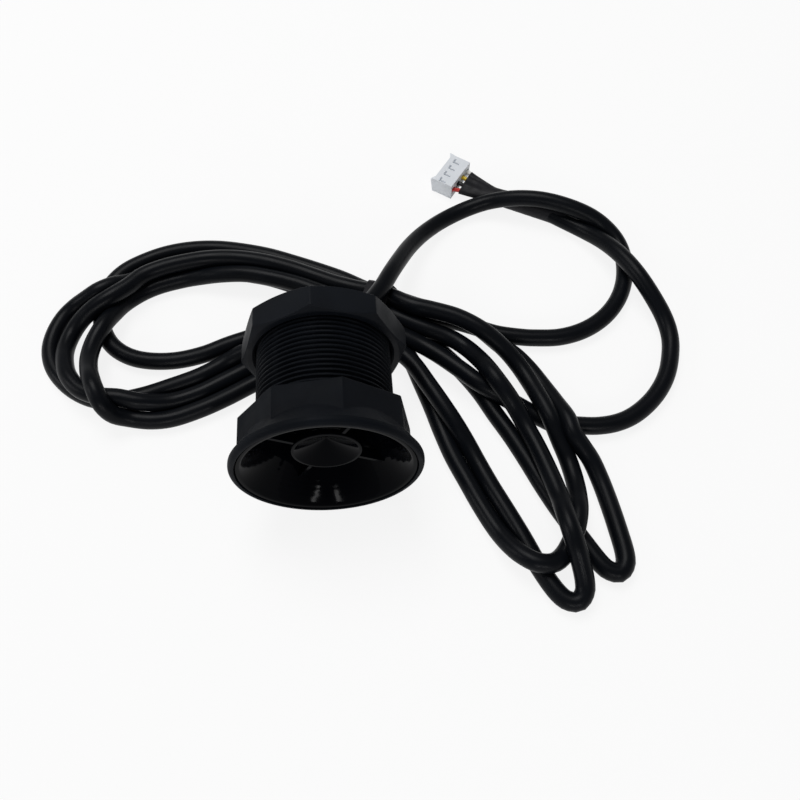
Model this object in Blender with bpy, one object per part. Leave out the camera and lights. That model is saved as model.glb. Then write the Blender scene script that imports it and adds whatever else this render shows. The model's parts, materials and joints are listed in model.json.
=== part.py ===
"""Horn-type ultrasonic distance sensor with its lock nut and its four-core cable.

The sensor lies on its side and rests on its rim and on its lock nut, so its axis dips a little to the rear.
Its own pieces are modelled on the local Y axis of the empty sensor_axis: the rim's widest circle is at zero,
the mouth points to -Y and the threaded end to +Y. The cable is folded into a hank behind it.
All sizes are in metres, and +Z is up.
"""
import math

import bmesh
import bpy
import numpy as np
from mathutils import Matrix, Vector

MM = 0.001
GAP = 0.3 * MM                    # clearance between pieces that touch or fit in each other
ROUND_STEPS = 64                  # facets round the large turned pieces
SMALL_STEPS = 32                  # facets round the small ones

# Housing: distances along the axis are measured to the rear from the rim's widest circle
RIM_RADIUS = 24.6 * MM
RIM_LAND = 0.5 * MM               # width of the rim's widest band
RIM_NOSE = 1.3 * MM               # how far the rounded lip stands in front of the widest circle
LIP_INSET = 1.2 * MM              # from the rim's widest circle in to the crest of the rounded lip
RIM_WALL = 2.2 * MM               # from the rim's widest circle in to the horn's mouth
RIM_STEP = 0.45 * MM              # small step behind the rim's band
FLARE_ANGLE = math.radians(33.5)  # slope of the flared collar
COLLAR_FLATS = 41.8 * MM          # across the octagonal wrench flats
COLLAR_REAR = 12.7 * MM           # the seat that faces the panel
COLLAR_TURN = math.radians(75.6)  # angle of one corner of the wrench flats
THREAD_RADIUS = 18.0 * MM
BODY_REAR = 42.0 * MM
BORE_RADIUS = 15.2 * MM
BOARD_SEAT = 35.2 * MM            # shoulder in the barrel that carries the circuit board
SEAL_BORE_RADIUS = 15.9 * MM

# Lock nut
NUT_FLATS = 41.8 * MM
NUT_THICKNESS = 8.0 * MM
NUT_FRONT = 33.0 * MM
NUT_TURN = math.radians(94.2)
NUT_CHAMFER = math.radians(30)
NUT_BORE = THREAD_RADIUS + GAP

# Horn: the bell that is pressed into the housing, with its ring and hollow cone
HORN_WALL = 1.4 * MM
HORN_THROAT_RADIUS = 8.6 * MM
HORN_DEPTH = 16.5 * MM
HORN_CURVE = 1.25                 # above 1 the bell opens faster towards its mouth
HORN_SEAT = 0.4 * MM              # shoulder in the housing that carries the horn's flange
HORN_FLANGE = 0.35 * MM           # how far the horn's flange stands out at its mouth
SOCKET_LENGTH = 7.0 * MM          # sleeve behind the throat that holds the transducer
RING_RADIUS = 9.1 * MM
RING_EDGE = 0.8 * MM
RING_FRONT = 4.3 * MM
RING_LENGTH = 1.7 * MM
CONE_DEPTH = 4.0 * MM
CONE_WALL = 1.4 * MM
RIB_COUNT = 4
RIB_TURN = math.radians(60)
RIB_WIDTH = 1.1 * MM
RIB_LENGTH = 3.0 * MM

# Transducer
CAN_RADIUS = 8.0 * MM
CAN_LENGTH = 10.0 * MM
CAN_WALL = 0.6 * MM
CAN_FACE = 0.9 * MM
BOOT_WALL = 1.0 * MM
BOOT_LIP = 0.8 * MM               # rubber between the can's face and the throat
BOOT_LENGTH = 6.4 * MM
PIEZO_RADIUS = 5.5 * MM
PIEZO_THICKNESS = 0.9 * MM
LEAD_WIRE_RADIUS = 0.45 * MM
LEAD_WIRE_OFFSET = 2.5 * MM

# Circuit board and what it carries
BOARD_THICKNESS = 1.6 * MM
BOARD_RADIUS = SEAL_BORE_RADIUS - GAP
BOARD_NOTCH = 1.5 * MM
PART_OFFSET = 7.2 * MM            # how far to each side of the axis the larger parts sit
CHIP_LEVEL = -6.7 * MM            # height of the two large chips, from the axis
COIL_LEVEL = 6.3 * MM             # height of the transformer and the capacitor
REGULATOR_LEVEL = 11.2 * MM
CRYSTAL_LEVEL = -11.6 * MM
CHIP_HEIGHT = 1.6 * MM
CORE_RADIUS = 4.0 * MM            # the drive transformer's ferrite drum
CORE_LENGTH = 5.6 * MM
CORE_FLANGE = 1.0 * MM
CORE_POST = 1.8 * MM
CAPACITOR_RADIUS = 3.1 * MM
CAPACITOR_HEIGHT = 5.4 * MM

# Rear seal and cable bushing
SEAL_REAR = BODY_REAR - 0.5 * MM
BUSHING_RADIUS = 4.6 * MM
BUSHING_NECK = 3.7 * MM
BUSHING_MOUTH = 45.6 * MM
BUSHING_DEPTH = 2.6 * MM          # how deep the cable sits in the bushing's mouth

# Cable
CORD_DIAMETER = 5.2 * MM
HANK_HEIGHT = 9.6 * MM            # two strands deep
TIE_WIRE = 1.0 * MM
TIE_TWIST = 7.0 * MM              # length of the tie's twisted ends
TIE_PLACE = 16.4 * MM             # where the tie crosses the hank, to the sensor's right
SLEEVE_START = 6.0 * MM           # width of the heat-shrink sleeve on the cable
SLEEVE_END = 10.4 * MM            # width where the four leads leave it
SLEEVE_THICKNESS = 3.0 * MM
WIRE_DIAMETER = 1.4 * MM

# Plug
PLUG_WAYS = 4
PLUG_PITCH = 2.5 * MM
PLUG_WIDTH = 12.6 * MM
PLUG_LENGTH = 7.8 * MM
PLUG_HEIGHT = 5.8 * MM
PLUG_CAVITY = 1.9 * MM
PLUG_PLACE = (43.6 * MM, 93.6 * MM)
PLUG_HEADING = math.radians(144.5)  # direction from the plug's rear to its mating end
PLUG_LEAD = 1.6 * MM              # free length of the leads between the sleeve and the plug

# Sizes that follow from those above
LIP_RADIUS = RIM_RADIUS - LIP_INSET
HORN_MOUTH_RADIUS = RIM_RADIUS - RIM_WALL
NUT_CORNER = NUT_FLATS / 2 / math.cos(math.pi / 8)
COLLAR_CORNER = COLLAR_FLATS / 2 / math.cos(math.pi / 8)
NUT_REAR = NUT_FRONT + NUT_THICKNESS
NUT_EDGE_REAR = NUT_REAR - (NUT_CORNER - NUT_FLATS / 2) * math.tan(NUT_CHAMFER)
NUT_LOW = NUT_CORNER * max(-math.sin(NUT_TURN + k * math.pi / 4) for k in range(8))
REST_TILT = math.atan((RIM_RADIUS - NUT_LOW) / (NUT_EDGE_REAR - RIM_LAND))
BOX_FRONT = -RIM_NOSE * math.cos(REST_TILT) - LIP_RADIUS * math.sin(REST_TILT)
BOX_REAR = BODY_REAR * math.cos(REST_TILT) + THREAD_RADIUS * math.sin(REST_TILT)
RIM_CENTRE = Vector((
    0.0,
    -(BOX_FRONT + BOX_REAR) / 2,
    RIM_RADIUS * math.cos(REST_TILT) + RIM_LAND * math.sin(REST_TILT),
))
AXIS_FRAME = Matrix.Translation(RIM_CENTRE) @ Matrix.Rotation(-REST_TILT, 4, "X")
BOARD_FRONT = BOARD_SEAT + GAP
BOARD_REAR = BOARD_FRONT + BOARD_THICKNESS
CAN_FRONT = HORN_DEPTH + BOOT_LIP + 2 * GAP
SOCKET_RADIUS = CAN_RADIUS + BOOT_WALL + 2 * GAP
CORD_START = BUSHING_MOUTH - BUSHING_DEPTH + GAP
FLANGE_RADIUS = HORN_MOUTH_RADIUS + HORN_FLANGE

# The cable's route from the bushing, over the hank and round to the hank's right loops (millimetres)
LEAD_OUT_ROUTE = [
    (1.0, 31.6, 21.8), (4.4, 34.6, 20.8), (8.4, 35.0, 18.9), (13.2, 37.4, 16.6), (17.0, 41.8, 14.4),
    (19.2, 47.8, 12.0), (21.4, 54.4, 7.8), (24.9, 61.6, 4.0), (30.0, 68.2, 2.7), (36.5, 73.6, 2.7),
    (44.5, 78.2, 3.6), (53.0, 79.6, 6.8), (61.0, 80.0, 8.6), (69.5, 79.6, 8.8), (78.8, 78.0, 7.2),
    (87.2, 74.0, 3.8), (93.4, 67.2, 2.7), (95.8, 59.0, 2.7), (94.8, 50.8, 2.7), (91.8, 42.6, 2.7),
    (86.8, 35.8, 2.7), (80.0, 30.8, 2.7), (72.0, 28.0, 2.7), (64.0, 27.6, 2.7), (56.4, 29.4, 2.7),
]

# The run from the hank's right loops round to the sleeve (millimetres)
PLUG_RUN_ROUTE = [
    (73.3, -2.2, 2.7), (80.0, -2.8, 2.7), (88.0, -1.0, 2.7), (95.2, 4.0, 2.7), (100.6, 12.0, 2.7),
    (103.6, 21.6, 2.7), (103.6, 31.0, 3.8), (101.2, 39.6, 7.0), (97.2, 47.6, 8.6), (92.8, 55.0, 8.4),
    (88.4, 62.0, 5.6), (83.8, 67.6, 3.2), (79.8, 71.6, 3.0),
]

# The sleeve's middle line from the cable towards the leads: x, y (millimetres) and how flat it is (0 to 1)
SLEEVE_ROUTE = [
    (79.2, 72.1, 0.0), (75.8, 74.6, 0.1), (71.0, 77.2, 0.25), (65.6, 80.0, 0.4), (60.0, 83.0, 0.6),
    (54.4, 86.4, 0.85),
]

# Outer and inner outlines of the hank's loops, seen from above (millimetres)
LEFT_OUTER = [
    (-24.0, 66.6), (-40.0, 71.6), (-55.0, 69.6), (-70.0, 61.0), (-80.0, 49.5), (-85.2, 36.6),
    (-83.8, 26.6), (-77.0, 17.0), (-66.0, 10.6), (-55.0, 6.0), (-47.0, 5.2), (-35.0, 8.6), (-25.0, 14.0),
    (-23.0, 20.0), (-22.6, 35.0), (-22.6, 50.0), (-22.8, 62.0),
]
LEFT_INNER = [
    (-26.6, 54.6), (-33.0, 55.0), (-45.0, 54.0), (-58.0, 48.0), (-65.0, 40.4), (-65.6, 36.0),
    (-62.5, 33.0), (-57.0, 31.2), (-50.0, 30.6), (-43.0, 31.2), (-35.0, 33.6), (-26.6, 37.4), (-26.2, 46.0),
]
RIGHT_OUTER = [
    (23.6, 43.6), (32.0, 43.0), (42.0, 39.0), (51.0, 32.4), (60.0, 21.0), (67.0, 9.0), (72.2, -2.0),
    (76.2, -17.0), (79.0, -32.0), (78.8, -42.0), (75.4, -47.6), (70.6, -48.2), (67.4, -51.6), (62.6, -55.2),
    (57.4, -52.4), (51.8, -44.6), (44.0, -35.4), (36.0, -21.4), (30.6, -6.4), (27.0, 10.0),
    (23.8, 22.6), (23.0, 29.0), (23.0, 37.0),
]
RIGHT_INNER = [
    (27.6, 23.6), (33.0, 19.0), (38.6, 13.0), (47.0, -1.0), (53.6, -15.0), (58.6, -27.0), (59.6, -32.0),
    (57.6, -37.6), (55.2, -38.4), (51.0, -31.0), (46.4, -21.0), (42.2, -11.0), (38.0, -2.0), (33.4, 9.0),
]
WAIST_LIFT = TIE_WIRE + 2 * GAP   # the tie passes under the middle of the hank
WAIST_OUTLINE = [
    (-21.6, 27.0), (-21.6, 60.0), (-8.0, 55.6), (4.0, 50.6), (13.0, 46.4), (22.2, 43.4), (22.2, 24.2),
    (13.0, 25.4), (0.0, 25.6), (-10.0, 25.6),
]


def clear_scene():
    """Removes whatever the open file holds."""
    for obj in list(bpy.data.objects):
        bpy.data.objects.remove(obj, do_unlink=True)


def make_material(name, colour, roughness, metallic=0.0):
    """A plain Principled material with the piece's own colour."""
    mat = bpy.data.materials.new(name)
    mat.use_nodes = True
    shader = mat.node_tree.nodes["Principled BSDF"]
    shader.inputs["Base Color"].default_value = (*colour, 1.0)
    shader.inputs["Roughness"].default_value = roughness
    shader.inputs["Metallic"].default_value = metallic
    return mat


def add_object(name, data, mat=None, parent=None):
    """Links an object for a mesh or a curve, with its material and its parent."""
    obj = bpy.data.objects.new(name, data)
    bpy.context.collection.objects.link(obj)
    obj.parent = parent
    if mat is not None:
        data.materials.append(mat)
    return obj


def finish_mesh(bm, name, mat=None, parent=None):
    """Turns a bmesh into an object with outward faces, smooth but for its edges."""
    bmesh.ops.remove_doubles(bm, verts=bm.verts, dist=1e-7)
    bmesh.ops.recalc_face_normals(bm, faces=bm.faces)
    mesh = bpy.data.meshes.new(name)
    bm.to_mesh(mesh)
    bm.free()
    mesh.shade_smooth()
    mesh.set_sharp_from_angle(angle=math.radians(30))
    return add_object(name, mesh, mat, parent)


def as_cutter(obj):
    """Marks a helper that only shapes another piece."""
    obj.hide_render = True
    obj.display_type = "WIRE"
    return obj


def boolean(obj, helper, operation):
    """Cuts, joins or intersects a piece with a helper."""
    modifier = obj.modifiers.new(helper.name, "BOOLEAN")
    modifier.operation = operation
    modifier.solver = "EXACT"
    modifier.object = as_cutter(helper)


def lathe(name, profile, mat=None, parent=None, steps=ROUND_STEPS):
    """A turned piece: (distance, radius) pairs spun round the Y axis.

    A profile that starts and ends on the axis is open there, and any other profile is a closed outline."""
    bm = bmesh.new()
    verts = [bm.verts.new((radius, distance, 0.0)) for distance, radius in profile]
    edges = [bm.edges.new(pair) for pair in zip(verts, verts[1:])]
    if profile[0][1] > 0.0:
        edges.append(bm.edges.new((verts[-1], verts[0])))
    bmesh.ops.spin(
        bm, geom=verts + edges, cent=(0, 0, 0), axis=(0, 1, 0), angle=math.tau, steps=steps, use_merge=True
    )
    return finish_mesh(bm, name, mat, parent)


def prism(name, outline, start, end, mat=None, parent=None):
    """A flat outline of (x, z) points extruded along the Y axis from start to end."""
    bm = bmesh.new()
    face = bm.faces.new([bm.verts.new((x, start, z)) for x, z in outline])
    moved = bmesh.ops.extrude_face_region(bm, geom=[face])
    tops = [item for item in moved["geom"] if isinstance(item, bmesh.types.BMVert)]
    bmesh.ops.translate(bm, verts=tops, vec=(0.0, end - start, 0.0))
    return finish_mesh(bm, name, mat, parent)


def octagon(across_flats, turn):
    """The corners of an octagon with one corner at the angle turn."""
    radius = across_flats / 2 / math.cos(math.pi / 8)
    angles = [turn + k * math.pi / 4 for k in range(8)]
    return [(radius * math.cos(a), radius * math.sin(a)) for a in angles]


def box(name, size, centre, mat=None, parent=None):
    """A block with its size and centre in its parent's frame."""
    bm = bmesh.new()
    bmesh.ops.create_cube(bm, size=1.0)
    bmesh.ops.scale(bm, verts=bm.verts, vec=size)
    bmesh.ops.translate(bm, verts=bm.verts, vec=centre)
    return finish_mesh(bm, name, mat, parent)


def rod(name, radius, start, end, across=(0.0, 0.0), mat=None, parent=None, steps=SMALL_STEPS):
    """A round bar parallel to the axis, set off from it by across = (x, z)."""
    obj = lathe(name, [(start, 0.0), (start, radius), (end, radius), (end, 0.0)], mat, parent, steps)
    obj.location = (across[0], 0.0, across[1])
    return obj


def smooth_curve(points, closed=False, per_span=12):
    """Points of a smooth curve through the given ones (a Catmull-Rom curve)."""
    points = np.asarray(points, float)
    if closed:
        padded = np.vstack([points[-1:], points, points[:2]])
    else:
        padded = np.vstack([2 * points[0] - points[1], points, 2 * points[-1] - points[-2]])
    share = np.linspace(0.0, 1.0, per_span, endpoint=False)[:, None]
    spans = []
    for a, b, c, d in zip(padded, padded[1:], padded[2:], padded[3:]):
        spans.append(
            0.5 * (2 * b + (c - a) * share + (2 * a - 5 * b + 4 * c - d) * share**2
                   + (3 * b - a - 3 * c + d) * share**3)
        )
    curve = np.vstack(spans)
    return curve if closed else np.vstack([curve, points[-1:]])


def even_points(curve, count):
    """The curve's points again, evenly spaced along it."""
    steps = np.linalg.norm(np.diff(curve, axis=0), axis=1)
    along = np.concatenate([[0.0], np.cumsum(steps)])
    wanted = np.linspace(0.0, along[-1], count)
    return np.stack([np.interp(wanted, along, column) for column in curve.T], axis=1)


def tube(name, points, diameter, mat, sides=2):
    """A cord or a wire: a curve with a round bevel and filled caps, through the given points."""
    data = bpy.data.curves.new(name, "CURVE")
    data.dimensions = "3D"
    data.bevel_depth = diameter / 2
    data.bevel_resolution = sides
    data.use_fill_caps = True
    spline = data.splines.new("POLY")
    spline.points.add(len(points) - 1)
    for target, point in zip(spline.points, points):
        target.co = (*point, 1.0)
    return add_object(name, data, mat)


def free_cord(name, route, mat, straight=None):
    """A free stretch of the cable: a point every two diameters along a smooth curve through its route.

    Where it leaves a piece, straight is the point that it starts from, in line with its first step."""
    curve = smooth_curve(route)
    length = np.linalg.norm(np.diff(curve, axis=0), axis=1).sum()
    points = even_points(curve, round(length / (2 * CORD_DIAMETER)) + 1)
    if straight is not None:
        points = np.vstack([straight, points])
    return tube(name, points, CORD_DIAMETER, mat)


def loop_solid(name, outer, inner, height, mat):
    """The outer shape of one side of the hank: a flat ring between two smooth outlines."""
    count = 44
    rings = []
    for outline in (outer, inner):
        curve = smooth_curve(np.asarray(outline) * MM, closed=True)
        rings.append(even_points(np.vstack([curve, curve[:1]]), count + 1)[:-1])
    bm = bmesh.new()
    low, high = [
        [[bm.verts.new((x, y, level)) for x, y in ring] for ring in rings] for level in (0.0, height)
    ]
    for k in range(count):
        n = (k + 1) % count
        bm.faces.new((low[0][k], low[0][n], low[1][n], low[1][k]))
        bm.faces.new((high[0][k], high[1][k], high[1][n], high[0][n]))
        bm.faces.new((low[0][k], high[0][k], high[0][n], low[0][n]))
        bm.faces.new((low[1][k], low[1][n], high[1][n], high[1][k]))
    return finish_mesh(bm, name, mat)


def plate(name, outline, low, high, mat):
    """A flat outline of (x, y) points in millimetres, between two levels."""
    bm = bmesh.new()
    face = bm.faces.new([bm.verts.new((x * MM, y * MM, low)) for x, y in outline])
    moved = bmesh.ops.extrude_face_region(bm, geom=[face])
    tops = [item for item in moved["geom"] if isinstance(item, bmesh.types.BMVert)]
    bmesh.ops.translate(bm, verts=tops, vec=(0.0, 0.0, high - low))
    return finish_mesh(bm, name, mat)


def on_axis(distance, x=0.0, z=0.0):
    """A point of the sensor's own frame in the world."""
    return AXIS_FRAME @ Vector((x, distance, z))


def horn_radius(distance):
    """Inner radius of the bell at a distance behind the rim's widest circle."""
    share = (distance + RIM_NOSE) / (HORN_DEPTH + RIM_NOSE)
    return HORN_MOUTH_RADIUS + (HORN_THROAT_RADIUS - HORN_MOUTH_RADIUS) * share ** (1 / HORN_CURVE)


def horn_line(start, end, offset, count=9):
    """(distance, radius) pairs along the bell, moved outwards by offset."""
    return [(s, horn_radius(s) + offset) for s in np.linspace(start, end, count)]


def make_housing(mat, parent):
    """Rim, flared collar with octagonal wrench flats, and the threaded barrel, as one moulding."""
    cone_start = RIM_LAND + RIM_STEP
    cone_radius = RIM_RADIUS - RIM_STEP
    cone_end = cone_start + (cone_radius - THREAD_RADIUS) / math.tan(FLARE_ANGLE)
    nose = [
        (-RIM_NOSE * math.sin(a), LIP_RADIUS + (RIM_RADIUS - LIP_RADIUS) * math.cos(a))
        for a in np.linspace(math.pi / 2, 0.0, 6)
    ]
    outside = [(-RIM_NOSE, 0.0)] + nose + [
        (RIM_LAND, RIM_RADIUS), (RIM_LAND, cone_radius), (cone_start, cone_radius),
        (cone_end, THREAD_RADIUS), (BODY_REAR, THREAD_RADIUS), (BODY_REAR, 0.0),
    ]
    housing = lathe("housing", outside, mat, parent)
    collar_front = cone_start + (cone_radius - COLLAR_CORNER) / math.tan(FLARE_ANGLE) / 2
    flats = octagon(COLLAR_FLATS, COLLAR_TURN)
    collar = prism("wrench_collar", flats, collar_front, COLLAR_REAR, None, parent)
    boolean(housing, collar, "UNION")

    clear = HORN_WALL + GAP
    line = horn_line(HORN_SEAT, HORN_DEPTH, clear, 60)
    bore_start = next(distance for distance, radius in line if radius <= BORE_RADIUS)
    past = 1 * MM
    seat_radius = FLANGE_RADIUS + GAP
    hollow = [(-RIM_NOSE - past, 0.0), (-RIM_NOSE - past, seat_radius), (HORN_SEAT, seat_radius)]
    hollow += horn_line(HORN_SEAT, bore_start, clear, 7)[:-1]
    hollow += [
        (bore_start, BORE_RADIUS), (BOARD_SEAT, BORE_RADIUS), (BOARD_SEAT, SEAL_BORE_RADIUS),
        (BODY_REAR + past, SEAL_BORE_RADIUS), (BODY_REAR + past, 0.0),
    ]
    boolean(housing, lathe("housing_hollow", hollow, None, parent), "DIFFERENCE")
    return housing


def make_lock_nut(mat, parent):
    """Octagonal lock nut with 30 degree chamfers on both faces and a clear hole over the thread."""
    middle = NUT_FRONT + NUT_THICKNESS / 2
    half = NUT_THICKNESS / 2
    nut = prism("lock_nut", octagon(NUT_FLATS, NUT_TURN), -half, half, mat, parent)
    nut.location = (0.0, middle, 0.0)
    face_radius = NUT_FLATS / 2
    reach = NUT_CORNER + 1 * MM
    drop = (reach - face_radius) * math.tan(NUT_CHAMFER)
    chamfer = lathe(
        "nut_chamfer",
        [(-half - GAP, 0.0), (-half - GAP, face_radius - GAP / math.tan(NUT_CHAMFER)), (-half + drop, reach),
         (half - drop, reach), (half + GAP, face_radius - GAP / math.tan(NUT_CHAMFER)), (half + GAP, 0.0)],
        None, parent,
    )
    chamfer.location = nut.location
    boolean(nut, chamfer, "INTERSECT")
    mouth = NUT_BORE + 0.8 * MM
    slope = mouth - NUT_BORE
    hole = lathe(
        "nut_hole",
        [(-half - slope, 0.0), (-half - slope, mouth + slope), (-half + slope, NUT_BORE),
         (half - slope, NUT_BORE), (half + slope, mouth + slope), (half + slope, 0.0)],
        None, parent,
    )
    hole.location = nut.location
    boolean(nut, hole, "DIFFERENCE")
    return nut


def make_horn(mat, parent):
    """The glossy bell with its flange and its socket, and the ribs that carry the ring and its cone."""
    mouth = -RIM_NOSE + 0.1 * MM
    inner = horn_line(mouth, HORN_DEPTH, 0.0, 11)
    outer = horn_line(HORN_SEAT - GAP, HORN_DEPTH - HORN_WALL, HORN_WALL, 6)
    socket_end = HORN_DEPTH + SOCKET_LENGTH
    profile = inner + [
        (HORN_DEPTH, SOCKET_RADIUS), (socket_end, SOCKET_RADIUS), (socket_end, SOCKET_RADIUS + HORN_WALL),
        (HORN_DEPTH, SOCKET_RADIUS + HORN_WALL),
    ] + outer[::-1] + [(HORN_SEAT - GAP, FLANGE_RADIUS), (mouth, FLANGE_RADIUS)]
    horn = lathe("horn", profile, mat, parent)

    ring_rear = RING_FRONT + RING_LENGTH
    cone_rear = RING_FRONT + CONE_DEPTH + CONE_WALL
    spider = lathe(
        "horn_cone",
        [(RING_FRONT + CONE_DEPTH, 0.0), (RING_FRONT, RING_RADIUS - RING_EDGE), (RING_FRONT, RING_RADIUS),
         (ring_rear, RING_RADIUS), (cone_rear, 0.0)],
        None, parent,
    )
    front = RING_FRONT + 0.3 * MM
    rear = front + RIB_LENGTH
    inside = 0.6 * (RING_RADIUS - RING_EDGE)
    cone_middle = RING_FRONT + CONE_DEPTH * 0.4 + CONE_WALL * 0.6
    outline = [
        (front, RING_RADIUS - RING_EDGE), (front, horn_radius(front) + HORN_WALL / 2),
        (rear, horn_radius(rear) + HORN_WALL / 2), (rear, inside + CONE_WALL), (cone_middle, inside),
    ]
    for k in range(RIB_COUNT):
        bm = bmesh.new()
        corners = [bm.verts.new((radius, distance, -RIB_WIDTH / 2)) for distance, radius in outline]
        face = bm.faces.new(corners)
        moved = bmesh.ops.extrude_face_region(bm, geom=[face])
        side = [item for item in moved["geom"] if isinstance(item, bmesh.types.BMVert)]
        bmesh.ops.translate(bm, verts=side, vec=(0.0, 0.0, RIB_WIDTH))
        rib = finish_mesh(bm, f"horn_rib_{k + 1}", None, parent)
        rib.rotation_euler = (0.0, -(RIB_TURN + k * math.tau / RIB_COUNT), 0.0)
        boolean(spider, rib, "UNION")
    boolean(horn, spider, "UNION")
    return horn


def make_transducer(mats, parent):
    """Aluminium can with a piezo disc on its closed face, a backing plug, a rubber boot and two wires."""
    boot_front = HORN_DEPTH + GAP
    boot_outer = CAN_RADIUS + GAP + BOOT_WALL
    lathe(
        "transducer_boot",
        [(boot_front, CAN_RADIUS - BOOT_WALL), (boot_front, boot_outer),
         (boot_front + BOOT_LENGTH, boot_outer), (boot_front + BOOT_LENGTH, CAN_RADIUS + GAP),
         (boot_front + BOOT_LIP, CAN_RADIUS + GAP), (boot_front + BOOT_LIP, CAN_RADIUS - BOOT_WALL)],
        mats["rubber"], parent, 48,
    )
    can_rear = CAN_FRONT + CAN_LENGTH
    face_rear = CAN_FRONT + CAN_FACE
    lathe(
        "transducer_can",
        [(CAN_FRONT, 0.0), (CAN_FRONT, CAN_RADIUS), (can_rear, CAN_RADIUS), (can_rear, CAN_RADIUS - CAN_WALL),
         (face_rear, CAN_RADIUS - CAN_WALL), (face_rear, 0.0)],
        mats["aluminium"], parent, 48,
    )
    piezo_front = face_rear + GAP
    piezo_rear = piezo_front + PIEZO_THICKNESS
    rod("piezo_disc", PIEZO_RADIUS, piezo_front, piezo_rear, mat=mats["ceramic"], parent=parent)
    backing_front = piezo_rear + GAP
    backing = rod("transducer_backing", CAN_RADIUS - CAN_WALL - GAP, backing_front, can_rear - 2 * GAP,
                  mat=mats["silicone"], parent=parent)
    for side, name in ((-1, "transducer_wire_ground"), (1, "transducer_wire_signal")):
        across = (side * LEAD_WIRE_OFFSET, 0.0)
        hole = rod(f"{name}_hole", LEAD_WIRE_RADIUS + GAP, piezo_rear, can_rear, across, None, parent, 12)
        boolean(backing, hole, "DIFFERENCE")
        rod(name, LEAD_WIRE_RADIUS, backing_front, BOARD_FRONT - GAP, across, mats[name], parent, 12)


def lead_frame(width, depth, teeth, pitch, sides):
    """Outline of a chip's leads: a plate inside the chip's body, with a row of leads out of its sides."""
    inset = 0.2 * MM
    reach = 0.9 * MM
    tooth = 0.45 * pitch
    offsets = [(k - (teeth - 1) / 2) * pitch for k in range(teeth)]
    outline = []
    for k in range(4):
        along, out = ((width, depth), (depth, width))[k % 2]
        row = []
        if k in sides:
            for offset in offsets:
                for side, level in ((-1, -inset), (-1, reach), (1, reach), (1, -inset)):
                    row.append((offset + side * tooth / 2, out / 2 + level))
        row.append((along / 2 - inset, out / 2 - inset))
        for _ in range(k):
            row = [(z, -x) for x, z in row]
        outline += row
    return outline


def chip(name, size, place, teeth, pitch, mat, parent, sides):
    """A moulded chip on the board's front, with flat leads along two or four of its sides."""
    width, depth = size
    rear = BOARD_FRONT - GAP
    lead = 0.3 * MM
    body = box(name, (width, CHIP_HEIGHT - lead / 2, depth), (0.0, rear - (CHIP_HEIGHT + lead / 2) / 2, 0.0),
               mat, parent)
    body.location = (place[0], 0.0, place[1])
    outline = lead_frame(width, depth, teeth, pitch, sides)
    frame = prism(f"{name}_leads", outline, rear - lead, rear, None, parent)
    frame.location = body.location
    boolean(body, frame, "UNION")


def make_board(mats, parent):
    """The round circuit board on its shoulder, and the parts on its front."""
    board = rod("circuit_board", BOARD_RADIUS, BOARD_FRONT, BOARD_REAR, mat=mats["board"], parent=parent,
                steps=48)
    for side in (-1, 1):
        notch = rod(f"board_notch_{side + 2}", BOARD_NOTCH, BOARD_FRONT - GAP, BOARD_REAR + GAP,
                    (side * BOARD_RADIUS, 0.0), parent=parent, steps=16)
        boolean(board, notch, "DIFFERENCE")
    rear = BOARD_FRONT - GAP

    for name, size, place, teeth, pitch, sides in (
        ("microcontroller", (6.0 * MM, 6.0 * MM), (-PART_OFFSET, CHIP_LEVEL), 8, 0.65 * MM, (0, 1, 2, 3)),
        ("echo_amplifier", (6.6 * MM, 4.0 * MM), (PART_OFFSET, CHIP_LEVEL), 5, 1.27 * MM, (0, 2)),
        ("voltage_regulator", (4.6 * MM, 2.6 * MM), (0.0, REGULATOR_LEVEL), 3, 1.5 * MM, (0, 2)),
    ):
        chip(name, size, place, teeth, pitch, mats["chip"], parent, sides)

    core_front = rear - CORE_LENGTH
    place = (-PART_OFFSET, 0.0, COIL_LEVEL)
    core = lathe(
        "transformer_core",
        [(core_front, 0.0), (core_front, CORE_RADIUS), (core_front + CORE_FLANGE, CORE_RADIUS),
         (core_front + CORE_FLANGE, CORE_POST), (rear - CORE_FLANGE, CORE_POST),
         (rear - CORE_FLANGE, CORE_RADIUS), (rear, CORE_RADIUS), (rear, 0.0)],
        mats["ferrite"], parent, SMALL_STEPS,
    )
    core.location = place
    coil_front = core_front + CORE_FLANGE + GAP
    coil_rear = rear - CORE_FLANGE - GAP
    coil = lathe(
        "transformer_coil",
        [(coil_front, CORE_POST + GAP), (coil_front, CORE_RADIUS - GAP), (coil_rear, CORE_RADIUS - GAP),
         (coil_rear, CORE_POST + GAP)],
        mats["copper"], parent, SMALL_STEPS,
    )
    coil.location = place

    across = (PART_OFFSET, COIL_LEVEL)
    base = 1.0 * MM
    capacitor = rod("electrolytic_capacitor", CAPACITOR_RADIUS, rear - CAPACITOR_HEIGHT, rear - base / 2,
                    across, mats["aluminium"], parent)
    foot = box("capacitor_base", (2.1 * CAPACITOR_RADIUS, base, 2.1 * CAPACITOR_RADIUS),
               (across[0], rear - base / 2, across[1]), None, parent)
    boolean(capacitor, foot, "UNION")

    end = 1.6 * MM
    straight = 2.4 * MM
    angles = np.linspace(-math.pi / 2, math.pi / 2, 9)
    half = [(straight + end * math.cos(a), end * math.sin(a)) for a in angles]
    outline = half + [(-x, -z) for x, z in half]
    crystal = prism("quartz_crystal", outline, rear - 3.4 * MM, rear, mats["steel"], parent)
    crystal.location = (0.0, 0.0, CRYSTAL_LEVEL)


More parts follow.
